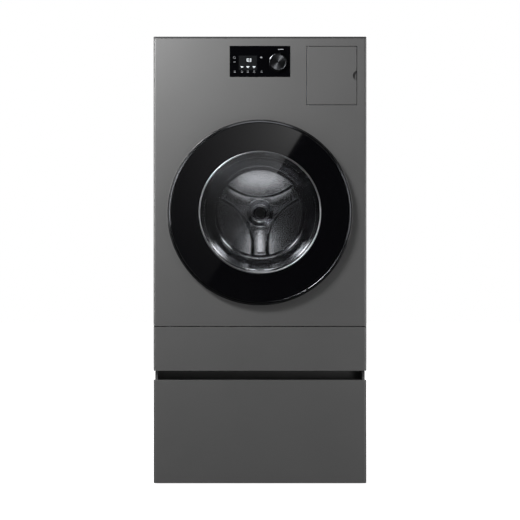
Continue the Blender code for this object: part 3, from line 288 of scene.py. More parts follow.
# %% Turning, pressing and cutting
def finish_mesh(bm, name, finish, sharp=35):
    """The mesh as an object, with even normals, smooth where it is round and crisp where it is not."""
    bmesh.ops.remove_doubles(bm, verts=bm.verts, dist=1e-6)
    bmesh.ops.recalc_face_normals(bm, faces=bm.faces)
    mesh = bpy.data.meshes.new(name)
    bm.to_mesh(mesh)
    bm.free()
    mesh.shade_smooth()
    mesh.set_sharp_from_angle(angle=radians(sharp))
    piece = bpy.data.objects.new(name, mesh)
    bpy.context.collection.objects.link(piece)
    mesh.materials.append(finish)
    return piece


def turn(name, profile, finish, centre=AXIS, steps=160, direction=(0, -1, 0), sharp=35):
    """A body turned from (radius, height) points. Heights run along direction from the centre."""
    bm = bmesh.new()
    forward = Vector(direction)
    across = Vector((1, 0, 0)) if abs(forward.x) < 0.9 else Vector((0, 1, 0))
    up = across.cross(forward)
    rings = []
    for radius, height in profile:
        count = steps if radius > 1e-7 else 1
        angles = [2 * pi * step / steps for step in range(count)]
        rings.append([
            bm.verts.new(centre + forward * height + radius * (across * cos(a) + up * sin(a))) for a in angles
        ])
    closed = profile[0][0] > 1e-7 or profile[-1][0] > 1e-7
    pairs = list(zip(rings, rings[1:] + rings[:1])) if closed else list(zip(rings, rings[1:]))
    for first, second in pairs:
        for step in range(steps):
            after = (step + 1) % steps
            corners = [first[step % len(first)], first[after % len(first)],
                       second[after % len(second)], second[step % len(second)]]
            unique = list(dict.fromkeys(corners))
            if len(unique) > 2:
                bm.faces.new(unique)
    return finish_mesh(bm, name, finish, sharp)


def block(name, low, high, finish, edge=0.0, segments=4, front_edge=0.0):
    """A box with softened edges. front_edge rounds its two upright front edges first, as a press does."""
    low, high = Vector(low), Vector(high)
    bm = bmesh.new()
    bmesh.ops.create_cube(bm, size=1.0, matrix=Matrix.Translation((low + high) / 2))
    bmesh.ops.scale(bm, vec=high - low, space=Matrix.Translation(-(low + high) / 2), verts=bm.verts)
    if front_edge:
        uprights = [
            line for line in bm.edges
            if all(vert.co.y < low.y + 1e-6 for vert in line.verts)
            and abs(line.verts[0].co.z - line.verts[1].co.z) > 1e-6
        ]
        bmesh.ops.bevel(bm, geom=uprights, offset=front_edge, segments=10, affect="EDGES", profile=0.5)
    if edge:
        crisp = [line for line in bm.edges if line.calc_face_angle(0) > radians(50)]
        bmesh.ops.bevel(bm, geom=crisp, offset=edge, segments=segments, affect="EDGES", profile=0.5)
    return finish_mesh(bm, name, finish)


def apply_modifiers(piece):
    """Keep the shape that the piece's modifiers give it, and drop the modifiers."""
    graph = bpy.context.evaluated_depsgraph_get()
    made = bpy.data.meshes.new_from_object(piece.evaluated_get(graph))
    piece.modifiers.clear()
    piece.data = made
    return piece


def carve(piece, *tools):
    """Cut the tools' shapes out of the piece for good."""
    for tool in tools:
        boolean = piece.modifiers.new("cut", "BOOLEAN")
        boolean.object = tool
        boolean.solver = "EXACT"
    apply_modifiers(piece)
    for tool in tools:
        bpy.data.objects.remove(tool)
    piece.data.shade_smooth()
    piece.data.set_sharp_from_angle(angle=radians(30))
    return piece


def fit(piece, body, slot, *replaced):
    """Put the piece on its body and hide the working pieces it stands for. The slot argument is not used."""
    even = piece.modifiers.new("even_normals", "WEIGHTED_NORMAL")
    even.keep_sharp = True
    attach(piece, body)
    if replaced:
        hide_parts(*replaced)
    return piece


print("ready to make pieces")

# %% [markdown]
# ## Camera
#
# The object is seen straight on from a few metres, at door height, as a catalogue shows it. A long lens from
# six metres keeps the sides and the top out of sight, and a little vertical shift centres the machine
# without tilting the camera, so that uprights stay upright.

# %% Camera
CAMERA_DISTANCE = 6.0
FRAME_WIDTH = 1.674  # metres seen across at the front skin
SEEN_MIDDLE_Z = 0.7228
CAMERA_Z = 0.85
camera_data = bpy.data.cameras.new("camera")
camera_data.sensor_width = 36.0
camera_data.lens = camera_data.sensor_width * CAMERA_DISTANCE / FRAME_WIDTH
camera_data.shift_y = (SEEN_MIDDLE_Z - CAMERA_Z) / FRAME_WIDTH
camera = bpy.data.objects.new("camera", camera_data)
camera.location = (0, FRONT_Y - CAMERA_DISTANCE, CAMERA_Z)
camera.rotation_euler = (pi / 2, 0, 0)
bpy.context.collection.objects.link(camera)
bpy.context.scene.camera = camera
print(f"lens {camera_data.lens:.0f} mm, shift {camera_data.shift_y:.3f}")

# %% [markdown]
# ## Floor, air and lamps
#
# A white floor and white surroundings make a plain studio. Surroundings that light everything evenly would
# flatten the coating, so what the machine's shiny parts reflect is kept dark, and only chosen cards glow in
# them: one broad card high on the left for the door glass, and strips at the sides for the rounded edges.

# %% Floor and surroundings
view = bpy.context.scene.view_settings
view.view_transform = "Standard"
view.look = "None"
world = bpy.data.worlds.new("studio")
bpy.context.scene.world = world
world.use_nodes = True
air = world.node_tree
air.nodes.clear()
path = air.nodes.new("ShaderNodeLightPath")
seen = add_node(air, "ShaderNodeBackground", Color=(1, 1, 1, 1), Strength=1.0)
shone = add_node(air, "ShaderNodeBackground", Color=(1, 1, 1, 1), Strength=0.30)
mirrored = add_node(air, "ShaderNodeBackground", Color=(1, 1, 1, 1), Strength=0.007)
soft_or_sharp = add_node(air, "ShaderNodeMixShader", {0: path.outputs["Is Diffuse Ray"],
                                                       1: mirrored.outputs[0], 2: shone.outputs[0]})
through = add_node(air, "ShaderNodeMixShader", {0: path.outputs["Is Camera Ray"],
                                                 1: soft_or_sharp.outputs[0], 2: seen.outputs[0]})
add_node(air, "ShaderNodeOutputWorld", {"Surface": through.outputs[0]})


def card_material(name, strength):
    """A card that only glows, with its tree and its emitter."""
    made = bpy.data.materials.new(name)
    made.use_nodes = True
    made.node_tree.nodes.clear()
    glow = add_node(made.node_tree, "ShaderNodeEmission", Strength=strength, Color=(1, 1, 1, 1))
    add_node(made.node_tree, "ShaderNodeOutputMaterial", {"Surface": glow.outputs[0]})
    return made, made.node_tree, glow


def flat(name, corners, material):
    """A flat stage piece between the given corners."""
    mesh = bpy.data.meshes.new(name)
    mesh.from_pydata([Vector(c) for c in corners], [], [range(len(corners))])
    mesh.materials.append(material)
    piece = bpy.data.objects.new(name, mesh)
    bpy.context.collection.objects.link(piece)
    return piece


floor_white, floor_tree, floor_glow = card_material("white_studio_floor", 0.93)
floor_shader = add_node(floor_tree, "ShaderNodeBsdfDiffuse", Color=linear("b8b8b8"))
floor_sum = add_node(floor_tree, "ShaderNodeAddShader",
                     {0: floor_glow.outputs[0], 1: floor_shader.outputs[0]})
floor_tree.links.new(floor_sum.outputs[0], floor_tree.nodes["Material Output"].inputs["Surface"])
floor = flat("studio_floor", ((-9, -9, 0), (9, -9, 0), (9, 9, 0), (-9, 9, 0)), floor_white)
floor.visible_glossy = False
print("floor and surroundings are white")

# %% Lamps
def lamp(name, place, aim, size, watts):
    """A rectangular lamp at a place, turned towards its aim. The camera never sees the lamp itself."""
    light = bpy.data.lights.new(name, "AREA")
    light.shape = "RECTANGLE"
    light.size, light.size_y = size
    light.energy = watts
    item = bpy.data.objects.new(name, light)
    item.location = place
    item.rotation_euler = (Vector(aim) - Vector(place)).to_track_quat("-Z", "Y").to_euler()
    item.visible_camera = False
    bpy.context.collection.objects.link(item)
    return item


STUDIO_LAMPS = (
    ("key_softbox", (-1.3, -2.5, 2.35), (-0.2, FRONT_Y, 1.15), (0.9, 0.6), 118),
    ("left_strip", (-2.6, -0.9, 1.6), (0, 0, 1.1), (0.5, 2.2), 58),
    ("right_strip", (2.6, -0.9, 1.1), (0, 0, 0.8), (0.5, 2.2), 30),
    ("overhead", (0, -0.4, 3.6), (0, 0, 1.4), (2.0, 2.0), 25),
    ("left_fill", (-1.5, -4.6, 2.3), (0, FRONT_Y, 0.6), (1.0, 0.8), 7),
    ("right_fill", (1.6, -4.6, 2.2), (0, FRONT_Y, 0.5), (0.8, 0.8), 6),
    ("rear_softbox", (1.3, 3.4, 2.4), (0, 0.4, 0.8), (1.6, 1.2), 70),
    ("low_fill", (1.3, -2.2, 0.3), (0.25, FRONT_Y, 0.12), (0.5, 0.4), 4.0),
)
for name, place, aim, size, watts in STUDIO_LAMPS:
    lamp(name, place, aim, size, watts)
print("studio lamps:", [name for name, *_ in STUDIO_LAMPS])

# %% [markdown]
# Little of the studio's light reaches the bottom of a drum behind two glasses. Two small lamps just behind
# the bowl light the drum's back, and three in front of the back light the foot of its wall. They are hidden
# from rays that come through glass, so only their light shows.

# %% Lamps in the drum
BEHIND_BOWL_Y = FRONT_Y + 0.11
DRUM_AIM_Y = 0.3
drum_lamps = [
    lamp("drum_top_lamp", (0, BEHIND_BOWL_Y, DOOR_Z + 0.135), (0, DRUM_AIM_Y, DOOR_Z + 0.12),
         (0.17, 0.05), 0.082),
    lamp("drum_low_lamp", (0, BEHIND_BOWL_Y, DOOR_Z - 0.13), (0, DRUM_AIM_Y, DOOR_Z - 0.12),
         (0.06, 0.11), 0.085),
]
BEFORE_BACK = 0.055
OFF_AXIS = 0.085
TILT_FORWARD = Vector((0, -0.25, 0))
for name, angle, watts in (
    ("drum_left_lamp", 222, 0.034),
    ("drum_right_lamp", 318, 0.034),
    ("drum_foot_lamp", 270, 0.03),
):
    outward = Vector((cos(radians(angle)), 0, sin(radians(angle))))
    place = Vector((0, drum_box_high.y - BEFORE_BACK, DOOR_Z)) + OFF_AXIS * outward
    drum_lamps.append(lamp(name, place, place + outward + TILT_FORWARD, (0.05, 0.02), watts))
for item in drum_lamps:
    item.visible_transmission = False
print("drum lamps:", [item.name for item in drum_lamps])

# %% [markdown]
# The door glass shows a slanting edge of light, bright at its top and fading downwards. That is a card far in
# front of the machine. It glows most near one spot, and each metre away leaves a small part of the glow.

# %% The card that the door glass mirrors
CARD_Y = FRONT_Y - 3.0
CARD_EDGE = (Vector((0.2025, CARD_Y, 1.272)), Vector((-0.121, CARD_Y, 0.7555)))
along = (CARD_EDGE[1] - CARD_EDGE[0]).normalized()
CARD_TOP = 1.45  # over what the door mirrors, under what the display mirrors
top_end = CARD_EDGE[0] + along * ((CARD_TOP - CARD_EDGE[0].z) / along.z)
low_end = CARD_EDGE[1] + along * 0.7
away = Vector((-0.848, 0, 0.530)) * 2.2
card_glow, card_tree, card_emitter = card_material("card_glow", 1.0)
BRIGHT_SPOT = (0.2, CARD_Y, 1.30)
GLOW_AT_SPOT = 1.42
GLOW_LEFT_AT_ONE_METRE = 0.026
card_place = object_position(card_tree)
from_spot = add_node(card_tree, "ShaderNodeVectorMath", {0: card_place}, operation="DISTANCE")
from_spot.inputs[1].default_value = BRIGHT_SPOT
fading = add_node(card_tree, "ShaderNodeMath", {1: from_spot.outputs["Value"]}, operation="POWER")
fading.inputs[0].default_value = GLOW_LEFT_AT_ONE_METRE
glow_now = add_node(card_tree, "ShaderNodeMath", {0: fading.outputs[0]}, operation="MULTIPLY")
glow_now.inputs[1].default_value = GLOW_AT_SPOT
card_tree.links.new(glow_now.outputs[0], card_emitter.inputs["Strength"])
far_end = low_end + away
card = flat("reflected_card", (top_end, low_end, far_end, (far_end.x, CARD_Y, CARD_TOP)), card_glow)
card.visible_camera = card.visible_diffuse = card.visible_shadow = False
card.visible_transmission = False
print("card edge from", [round(v, 3) for v in top_end], "to", [round(v, 3) for v in low_end])

# %% [markdown]
# ## Front skin
#
# The whole front is one pressed sheet, its edges turned back with a soft round. It could be a flat plane,
# but it is that round which catches the light as two bright uprights. It is made as a block with rounded
# edges, hollowed from behind to the thickness of the sheet, with openings cut for door, display and filter.

# %% A pressed panel
SHEET = 1.5 * MM
EDGE_ROUND = 8 * MM


def pressed(name, low, high, finish, wall=SHEET, rounding=EDGE_ROUND, crease=0.6 * MM):
    """A sheet front with its edges turned back. The crease is the small round on its other edges."""
    low, high = Vector(low), Vector(high)
    skin = block(name, low, high, finish, edge=crease, segments=3, front_edge=rounding)
    inset = Vector((wall, wall, wall))
    hollow = block("hollow", low + inset, (high.x - wall, high.y + wall, high.z - wall), finish,
                   front_edge=rounding - wall)
    return carve(skin, hollow)


def disc_cutter(centre, radius, low=-0.05, high=0.05, steps=160):
    return turn("cutter", ((0, high), (radius, high), (radius, low), (0, low)), black_abs, centre, steps)


def box_cutter(low, high, edge=0.0):
    return block("cutter", low, high, black_abs, edge, segments=2)


print(f"sheet {SHEET / MM:.1f} mm thick, edges turned to {EDGE_ROUND / MM:.0f} mm")

# %% Front skin with its openings
MOUTH_RADIUS = (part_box("door_gasket")[1].z - DOOR_Z) - 8 * MM
control_low, control_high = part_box("control_glass")
filter_low, filter_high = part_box("filter_door")
hook_low, hook_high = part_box("door_hook")
FILTER_GAP, DISPLAY_GAP, HOOK_GAP = 1.6 * MM, 0.3 * MM, 4 * MM
FILTER_PIN = 2 * MM  # the filter door's pins stand out of its top and foot by this much


def opening(low, high, gap, pin=0.0):
    """A cutter through the skin, a gap wider all round than what fills the opening."""
    return box_cutter((low.x - gap, FRONT_Y - 0.01, low.z + pin - gap),
                      (high.x + gap, FRONT_Y + 0.02, high.z - pin + gap))


front_skin = pressed("front_skin", panel_low, panel_high, graphite)
carve(
    front_skin,
    disc_cutter(AXIS, MOUTH_RADIUS + 0.2 * MM),
    opening(control_low, control_high, DISPLAY_GAP),
    opening(filter_low, filter_high, FILTER_GAP, FILTER_PIN),
    opening(hook_low, hook_high, HOOK_GAP),
)
fit(front_skin, "cabinet", "graphite_steel", "front_panel")
print("front skin:", len(front_skin.data.polygons), "faces")

# %% Top cover
cover_low, cover_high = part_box("top_cover")
cover = block("top_cover_skin", cover_low, cover_high, black_coat, edge=0.9 * MM, segments=3,
              front_edge=EDGE_ROUND)
fit(cover, "cabinet", "black_cover", "top_cover")
print("top cover:", len(cover.data.polygons), "faces")

# %% [markdown]
# ## Seat of the door
#
# Round the opening a black ring stands between skin and door, and a rubber gasket joins the opening to the
# tub with two soft folds. Both are turned bodies, so each is one profile drawn in section.

# %% Seat ring
ring_inner = SEAT_RADIUS - 37 * MM
seat_profile = (
    (ring_inner, 0.3 * MM),
    (ring_inner, 3.4 * MM),
    (ring_inner + 0.6 * MM, 4.0 * MM),
    (SEAT_RADIUS - 2.2 * MM, 4.0 * MM),
    (SEAT_RADIUS - 1.2 * MM, 3.7 * MM),
    (SEAT_RADIUS - 0.3 * MM, 2.8 * MM),
    (SEAT_RADIUS, 1.6 * MM),
    (SEAT_RADIUS, 0.3 * MM),
)
seat_ring = turn("door_seat_trim", seat_profile, gloss_black_abs)
hinge_low, hinge_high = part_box("door_hinge")
carve(seat_ring, box_cutter((hinge_low.x - MM, FRONT_Y - 0.02, hinge_low.z - MM),
                            (hinge_high.x + 2 * MM, FRONT_Y + 0.02, hinge_high.z + MM)))
fit(seat_ring, "cabinet", "black_plastic", "door_seat_ring")
print(f"seat ring radius {SEAT_RADIUS:.4f}, inner radius {ring_inner:.4f}")

# %% Gasket
LIP = MOUTH_RADIUS - 30 * MM
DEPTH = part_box("door_gasket")[1].y - FRONT_Y
OUTER_START, INNER_START = 13.5 * MM, 20 * MM  # how deep the folds of each side start
WAVE_STEPS, WAVES = 26, 1.5
gasket_profile = [
    (LIP + 1.2 * MM, -0.3 * MM),
    (LIP + 8 * MM, -0.1 * MM),
    (MOUTH_RADIUS - 1.4 * MM, -0.1 * MM),
    (MOUTH_RADIUS - 1.0 * MM, -0.6 * MM),
    (MOUTH_RADIUS - 1.0 * MM, -1.8 * MM),
    (MOUTH_RADIUS + 7.5 * MM, -1.8 * MM),
    (MOUTH_RADIUS + 8 * MM, -2.6 * MM),
    (MOUTH_RADIUS + 7.6 * MM, -6.2 * MM),
]
for step in range(WAVE_STEPS + 1):
    t = step / WAVE_STEPS
    wave = 2.6 * MM * sin(2 * pi * WAVES * t)
    deep = OUTER_START + (DEPTH - OUTER_START - 0.3 * MM) * t
    gasket_profile.append((LIP + 20 * MM - 1.5 * MM * t + wave, -deep))
gasket_profile.append((LIP + 13 * MM, -DEPTH + 0.3 * MM))
for step in range(WAVE_STEPS + 1):
    t = 1 - step / WAVE_STEPS
    wave = 2.4 * MM * sin(2 * pi * WAVES * t)
    deep = INNER_START + (DEPTH - INNER_START - 0.6 * MM) * t
    gasket_profile.append((LIP + 14.5 * MM + wave, -deep))
gasket_profile += [
    (LIP + 9 * MM, -15 * MM),
    (LIP + 3 * MM, -11 * MM),
    (LIP + 0.4 * MM, -8.6 * MM),
    (LIP, -6 * MM),
    (LIP, -1.5 * MM),
]
gasket = turn("door_gasket_bellows", gasket_profile, rubber, sharp=60)
fit(gasket, "cabinet", "grey_rubber", "door_gasket")
print(f"gasket lip radius {LIP:.4f}, {DEPTH:.3f} deep")

# %% [markdown]
# ## Loading door
#
# The door is a black rim with a bright bevel, a flat black glass whose middle is left clear, a fine chrome
# line round the clear part, and a pressed glass bowl behind it. All of it turns with the door's hinge.

# %% Rim, with room for the hinge
REAR = FRONT_Y - rim_high.y
BEVEL = 6.5 * MM
GLASS_BACK = FRONT_Y - door_high.y
bowl_low, bowl_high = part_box("door_bowl")
CLEAR_RADIUS = 195.5 * MM
rim_inner = CLEAR_RADIUS + 19.5 * MM
rim_profile = (
    (RIM_RADIUS - BEVEL + 1.5 * MM, DOOR_FACE - 2.6 * MM),
    (RIM_RADIUS - 0.8 * MM, DOOR_FACE - 5.4 * MM),
    (RIM_RADIUS, DOOR_FACE - 6.4 * MM),
    (RIM_RADIUS, REAR + 5.0 * MM),
    (RIM_RADIUS - 0.5 * MM, REAR + 2.6 * MM),
    (RIM_RADIUS - 2.2 * MM, REAR + 0.8 * MM),
    (RIM_RADIUS - 5.0 * MM, REAR),
    (rim_inner, REAR),
    (CLEAR_RADIUS + 9.5 * MM, REAR + 2.0 * MM),
    (CLEAR_RADIUS + 5.5 * MM, REAR + 6.5 * MM),
    (CLEAR_RADIUS + 5.5 * MM, GLASS_BACK - 5.1 * MM),
    (CLEAR_RADIUS + 21.8 * MM, GLASS_BACK - 5.1 * MM),
    (CLEAR_RADIUS + 21.8 * MM, GLASS_BACK - 0.3 * MM),
    (RIM_RADIUS - BEVEL, GLASS_BACK - 0.3 * MM),
)
rim = turn("door_rim", rim_profile, black_abs)
LUG_UP, LUG_THICK = 50 * MM, 6 * MM  # the hinge's two lugs, above and below the door's middle
LUG_END_X = 15.5 * MM - RIM_RADIUS
lug_slots = []
for height in (DOOR_Z - LUG_UP, DOOR_Z + LUG_UP):
    lug_slots.append(box_cutter((-RIM_RADIUS - 0.01, FRONT_Y - DOOR_FACE + 7 * MM, height - LUG_THICK / 2),
                                (LUG_END_X, FRONT_Y, height + LUG_THICK / 2)))
carve(rim, *lug_slots)
fit(rim, "door", "black_plastic", "door_frame")
print(f"door rim radius {RIM_RADIUS:.4f}, with {len(lug_slots)} slots for the hinge")

# %% Bright bevel round the glass
bevel_profile = (
    (RIM_RADIUS - BEVEL, DOOR_FACE - 0.2 * MM),
    (RIM_RADIUS - BEVEL + 0.5 * MM, DOOR_FACE),
    (RIM_RADIUS - BEVEL + 1.6 * MM, DOOR_FACE - 0.5 * MM),
    (RIM_RADIUS - 2.6 * MM, DOOR_FACE - 3.1 * MM),
    (RIM_RADIUS - 1.2 * MM, DOOR_FACE - 4.3 * MM),
    (RIM_RADIUS - 0.9 * MM, DOOR_FACE - 5.2 * MM),
    (RIM_RADIUS - BEVEL + 1.5 * MM, DOOR_FACE - 2.5 * MM),
    (RIM_RADIUS - BEVEL, DOOR_FACE - 3.0 * MM),
)
bevel = turn("door_bevel_ring", bevel_profile, dark_chrome, steps=240)
fit(bevel, "door", "stainless_steel")
print("bevel ring", round(BEVEL / MM, 1), "mm wide")

# %% [markdown]
# ## Door glass
#
# The front glass is one flat disc. Its border is printed black from behind and its middle is clear, so it is
# made as two discs that meet under the chrome line: a black one with a hole, and a clear one.

# %% Black border and clear middle
LINE_OUT = CLEAR_RADIUS + 1.5 * MM
LINE_IN = CLEAR_RADIUS - 3.5 * MM
border_profile = (
    (LINE_OUT + 0.1 * MM, GLASS_BACK),
    (LINE_OUT + 0.1 * MM, DOOR_FACE - 0.2 * MM),
    (GLASS_RADIUS - 0.6 * MM, DOOR_FACE - 0.2 * MM),
    (GLASS_RADIUS - 0.2 * MM, DOOR_FACE - 0.5 * MM),
    (GLASS_RADIUS, DOOR_FACE - 1.0 * MM),
    (GLASS_RADIUS, GLASS_BACK),
)
border = turn("door_glass_border", border_profile, black_glass, steps=240)
fit(border, "door", "black_glass", "door_glass")
CLEAR_FACE = DOOR_FACE - 1.6 * MM
clear_profile = (
    (0, GLASS_BACK),
    (LINE_IN - 0.1 * MM, GLASS_BACK),
    (LINE_IN - 0.1 * MM, CLEAR_FACE - 0.1 * MM),
    (LINE_IN - 0.4 * MM, CLEAR_FACE),
    (0, CLEAR_FACE),
)
clear_middle = turn("door_window", clear_profile, window_glass, steps=240)
fit(clear_middle, "door", "clear_glass")
print(f"glass radius {GLASS_RADIUS:.4f}, clear face {(DOOR_FACE - CLEAR_FACE) / MM:.1f} mm behind the border")

# %% Fine line round the window
LINE_MIDDLE, LINE_HALF = (LINE_IN + LINE_OUT) / 2, (LINE_OUT - LINE_IN) / 2
LINE_STEPS, LINE_CROWN = 12, 2.0 * MM
line_profile = [(LINE_IN, GLASS_BACK + 0.2 * MM)]
for step in range(LINE_STEPS + 1):
    a = pi * (1 - step / LINE_STEPS)
    line_profile.append((LINE_MIDDLE + LINE_HALF * cos(a), DOOR_FACE + LINE_CROWN * (sin(a) - 1)))
line_profile.append((LINE_OUT, GLASS_BACK + 0.2 * MM))
chrome_line = turn("window_chrome_line", line_profile, chrome, steps=240, sharp=60)
fit(chrome_line, "door", "stainless_steel")
print(f"window radius {LINE_IN:.4f}, line {2 * LINE_HALF / MM:.1f} mm wide")

# %% [markdown]
# ## Glass bowl
#
# The bowl keeps laundry off the flat glass and guides it back into the drum. It is pressed thick glass:
# a rim gripped in the frame, a wall that narrows with a soft shoulder, and a nearly flat back.

# %% Bowl
BOWL_REAR = bowl_high.y - FRONT_Y
BOWL_FLANGE = (bowl_high.z - bowl_low.z) / 2
BOWL_SEAT = GLASS_BACK - 0.4 * MM
WALL = 4.5 * MM
BACK_RADIUS_OF_BOWL = CLEAR_RADIUS - 57.5 * MM
SHOULDER_STEPS = 14


def shoulder(start_radius, start_height, round_off):
    """A quarter round from the bowl's back to its wall."""
    angles = [(pi / 2) * step / SHOULDER_STEPS for step in range(SHOULDER_STEPS + 1)]
    return [(start_radius + round_off * sin(a), start_height + round_off * (1 - cos(a))) for a in angles]


outside = shoulder(BACK_RADIUS_OF_BOWL - 2 * MM, 1 * MM - BOWL_REAR, 19 * MM)
inside = shoulder(BACK_RADIUS_OF_BOWL - 4 * MM, 1 * MM - BOWL_REAR + WALL, 16.5 * MM)
flat_back = BACK_RADIUS_OF_BOWL * 0.7
bowl_profile = [(0, -BOWL_REAR), (flat_back, -BOWL_REAR + 0.4 * MM)] + outside + [
    (CLEAR_RADIUS - 8.5 * MM, -6 * MM),
    (CLEAR_RADIUS - 6.0 * MM, 2 * MM),
    (CLEAR_RADIUS + 3.5 * MM, BOWL_SEAT - WALL - 3 * MM),
    (CLEAR_RADIUS + 5 * MM, BOWL_SEAT - WALL),
    (BOWL_FLANGE, BOWL_SEAT - WALL),
    (BOWL_FLANGE, BOWL_SEAT),
    (CLEAR_RADIUS + 2 * MM, BOWL_SEAT),
    (CLEAR_RADIUS - 2 * MM, BOWL_SEAT - 3 * MM),
    (CLEAR_RADIUS - 10.5 * MM, 0.5 * MM),
    (CLEAR_RADIUS - 13 * MM, -6 * MM),
] + inside[::-1] + [(flat_back, -BOWL_REAR + WALL + 0.4 * MM), (0, -BOWL_REAR + WALL)]
bowl = turn("door_glass_bowl", bowl_profile, clear_glass, steps=192, sharp=50)
fit(bowl, "door", "clear_glass", "door_bowl")
print(f"bowl {BOWL_REAR:.3f} deep, back radius {BACK_RADIUS_OF_BOWL:.3f}")

# %% [markdown]
# ## Drum
#
# The drum is rolled stainless sheet with pressed holes for the water, and its back is one deep pressing: a
# star of three arms between three hollows, which stiffens it. The wall could be a plain tube with dots
# painted on. Real holes read better from every side, so each small panel of the wall gets its own.

# %% Wall with its holes
DRUM_MOUTH_Y = drum_box_low.y - FRONT_Y
DRUM_REAR_Y = drum_box_high.y - FRONT_Y
SKIN = 1.0 * MM
NARROWING = 96 * MM  # how much less the radius is at the back
NARROWING_Y = DRUM_REAR_Y - 232 * MM
BACK_RADIUS = DRUM_RADIUS - NARROWING
BACK_Y = DRUM_REAR_Y - 6 * MM


HOLE_SIDES = 8


def holed_wall(name, stations, steps, hole, finish):
    """A turned wall through (radius, depth) stations. hole(row, step) gives a hole's radius there, or 0."""
    bm = bmesh.new()
    rings = []
    for radius, depth in stations:
        angles = [2 * pi * step / steps for step in range(steps)]
        rings.append([
            bm.verts.new((radius * cos(a), FRONT_Y + depth, DOOR_Z + radius * sin(a))) for a in angles
        ])
    for row, (near, far) in enumerate(zip(rings, rings[1:])):
        for step in range(steps):
            after = (step + 1) % steps
            corners = [near[step], near[after], far[after], far[step]]
            size = hole(row, step)
            if not size:
                bm.faces.new(corners)
                continue
            middle = sum((v.co for v in corners), Vector()) / 4
            u = (corners[1].co - corners[0].co).normalized()
            v = (corners[3].co - corners[0].co).normalized()
            turn_at = [pi * (1.25 + 0.25 * k) for k in range(HOLE_SIDES)]
            rim_of_hole = [bm.verts.new(middle + size * (u * cos(a) + v * sin(a))) for a in turn_at]
            for k in range(4):
                first, second = rim_of_hole[2 * k], rim_of_hole[2 * k + 1]
                third = rim_of_hole[(2 * k + 2) % HOLE_SIDES]
                bm.faces.new((corners[k], second, first))
                bm.faces.new((corners[k], corners[(k + 1) % 4], third, second))
    return finish_mesh(bm, name, finish, sharp=40)


stations = [
    (DRUM_RADIUS - 36 * MM, DRUM_MOUTH_Y + 1.0 * MM),
    (DRUM_RADIUS - 14 * MM, DRUM_MOUTH_Y + 0.6 * MM),
    (DRUM_RADIUS - 7 * MM, DRUM_MOUTH_Y + 2.5 * MM),
    (DRUM_RADIUS - 2.5 * MM, DRUM_MOUTH_Y + 7.5 * MM),
    (DRUM_RADIUS - SKIN, DRUM_MOUTH_Y + 14 * MM),
]
FIRST_HOLES = len(stations) + 1
WALL_ROWS = 26
wall_start = DRUM_MOUTH_Y + 22 * MM
for row in range(WALL_ROWS + 1):
    stations.append((DRUM_RADIUS - SKIN, wall_start + (NARROWING_Y - wall_start) * row / WALL_ROWS))
TAPER_ROWS = 20
FIRST_TAPER_ROW = len(stations)
for row in range(1, TAPER_ROWS + 1):
    t = row / TAPER_ROWS
    stations.append((DRUM_RADIUS - SKIN - NARROWING * t ** 1.08, NARROWING_Y + (BACK_Y - NARROWING_Y) * t))
WALL_STEPS = 120
HALF_TURN = WALL_STEPS // 2
LIFTER_ANGLES = (270, 30, 150)
LIFTER_STEPS = [WALL_STEPS * angle // 360 for angle in LIFTER_ANGLES]
# Real holes are about 3 mm across and 6 mm apart. These are coarser, so that they show at all.
WALL_HOLE, TAPER_HOLE = 1.9 * MM, 2.1 * MM


def hole_at(row, step):
    """The radius of the hole in this small panel, or 0 beside a lifter, at the edges and between rows."""
    near_lifter = min(abs((step - at + HALF_TURN) % WALL_STEPS - HALF_TURN) for at in LIFTER_STEPS)
    if row < FIRST_HOLES or row % 2:
        return 0
    if row < FIRST_TAPER_ROW:
        return WALL_HOLE if near_lifter > 5 and (row // 2 + step) % 2 else 0
    return TAPER_HOLE if near_lifter > 4 and row % 4 and row < len(stations) - 2 else 0


drum_wall = holed_wall("drum_wall", stations, WALL_STEPS, hole_at, stainless)
shell = drum_wall.modifiers.new("sheet", "SOLIDIFY")
shell.thickness = SKIN
shell.offset = 0
apply_modifiers(drum_wall)
fit(drum_wall, "drum", "stainless_steel", "drum")
print("drum wall faces:", len(drum_wall.data.polygons))

# %% [markdown]
# The back is a disc whose height follows a rule: each hollow is where a large circle overlaps the disc, and
# its wall slopes down softly. The arms are what is left between them.

# %% Star-shaped back
HOLLOW_ANGLES = [radians(a) for a in (90, 210, 330)]
HOLLOW_REACH = 240 * MM  # from the drum's axis to the middle of a hollow's circle
HOLLOW_CIRCLE = 186 * MM
HOLLOW_DEPTH, HOLLOW_SLOPE = 7 * MM, 7 * MM
STAR_RISE = 17 * MM
HUB_RISE, HUB_START, HUB_END = 6 * MM, 19 * MM, 50 * MM
DIP, DIP_END = 9 * MM, 22 * MM  # the dip that takes the hub cap
CROWN, CROWN_HALF, CROWN_START, CROWN_END = 0.9 * MM, 34 * MM, 34 * MM, 150 * MM


def smooth(value):
    """From 0 to 1 with no corner at either end."""
    value = min(max(value, 0.0), 1.0)
    return value * value * (3 - 2 * value)


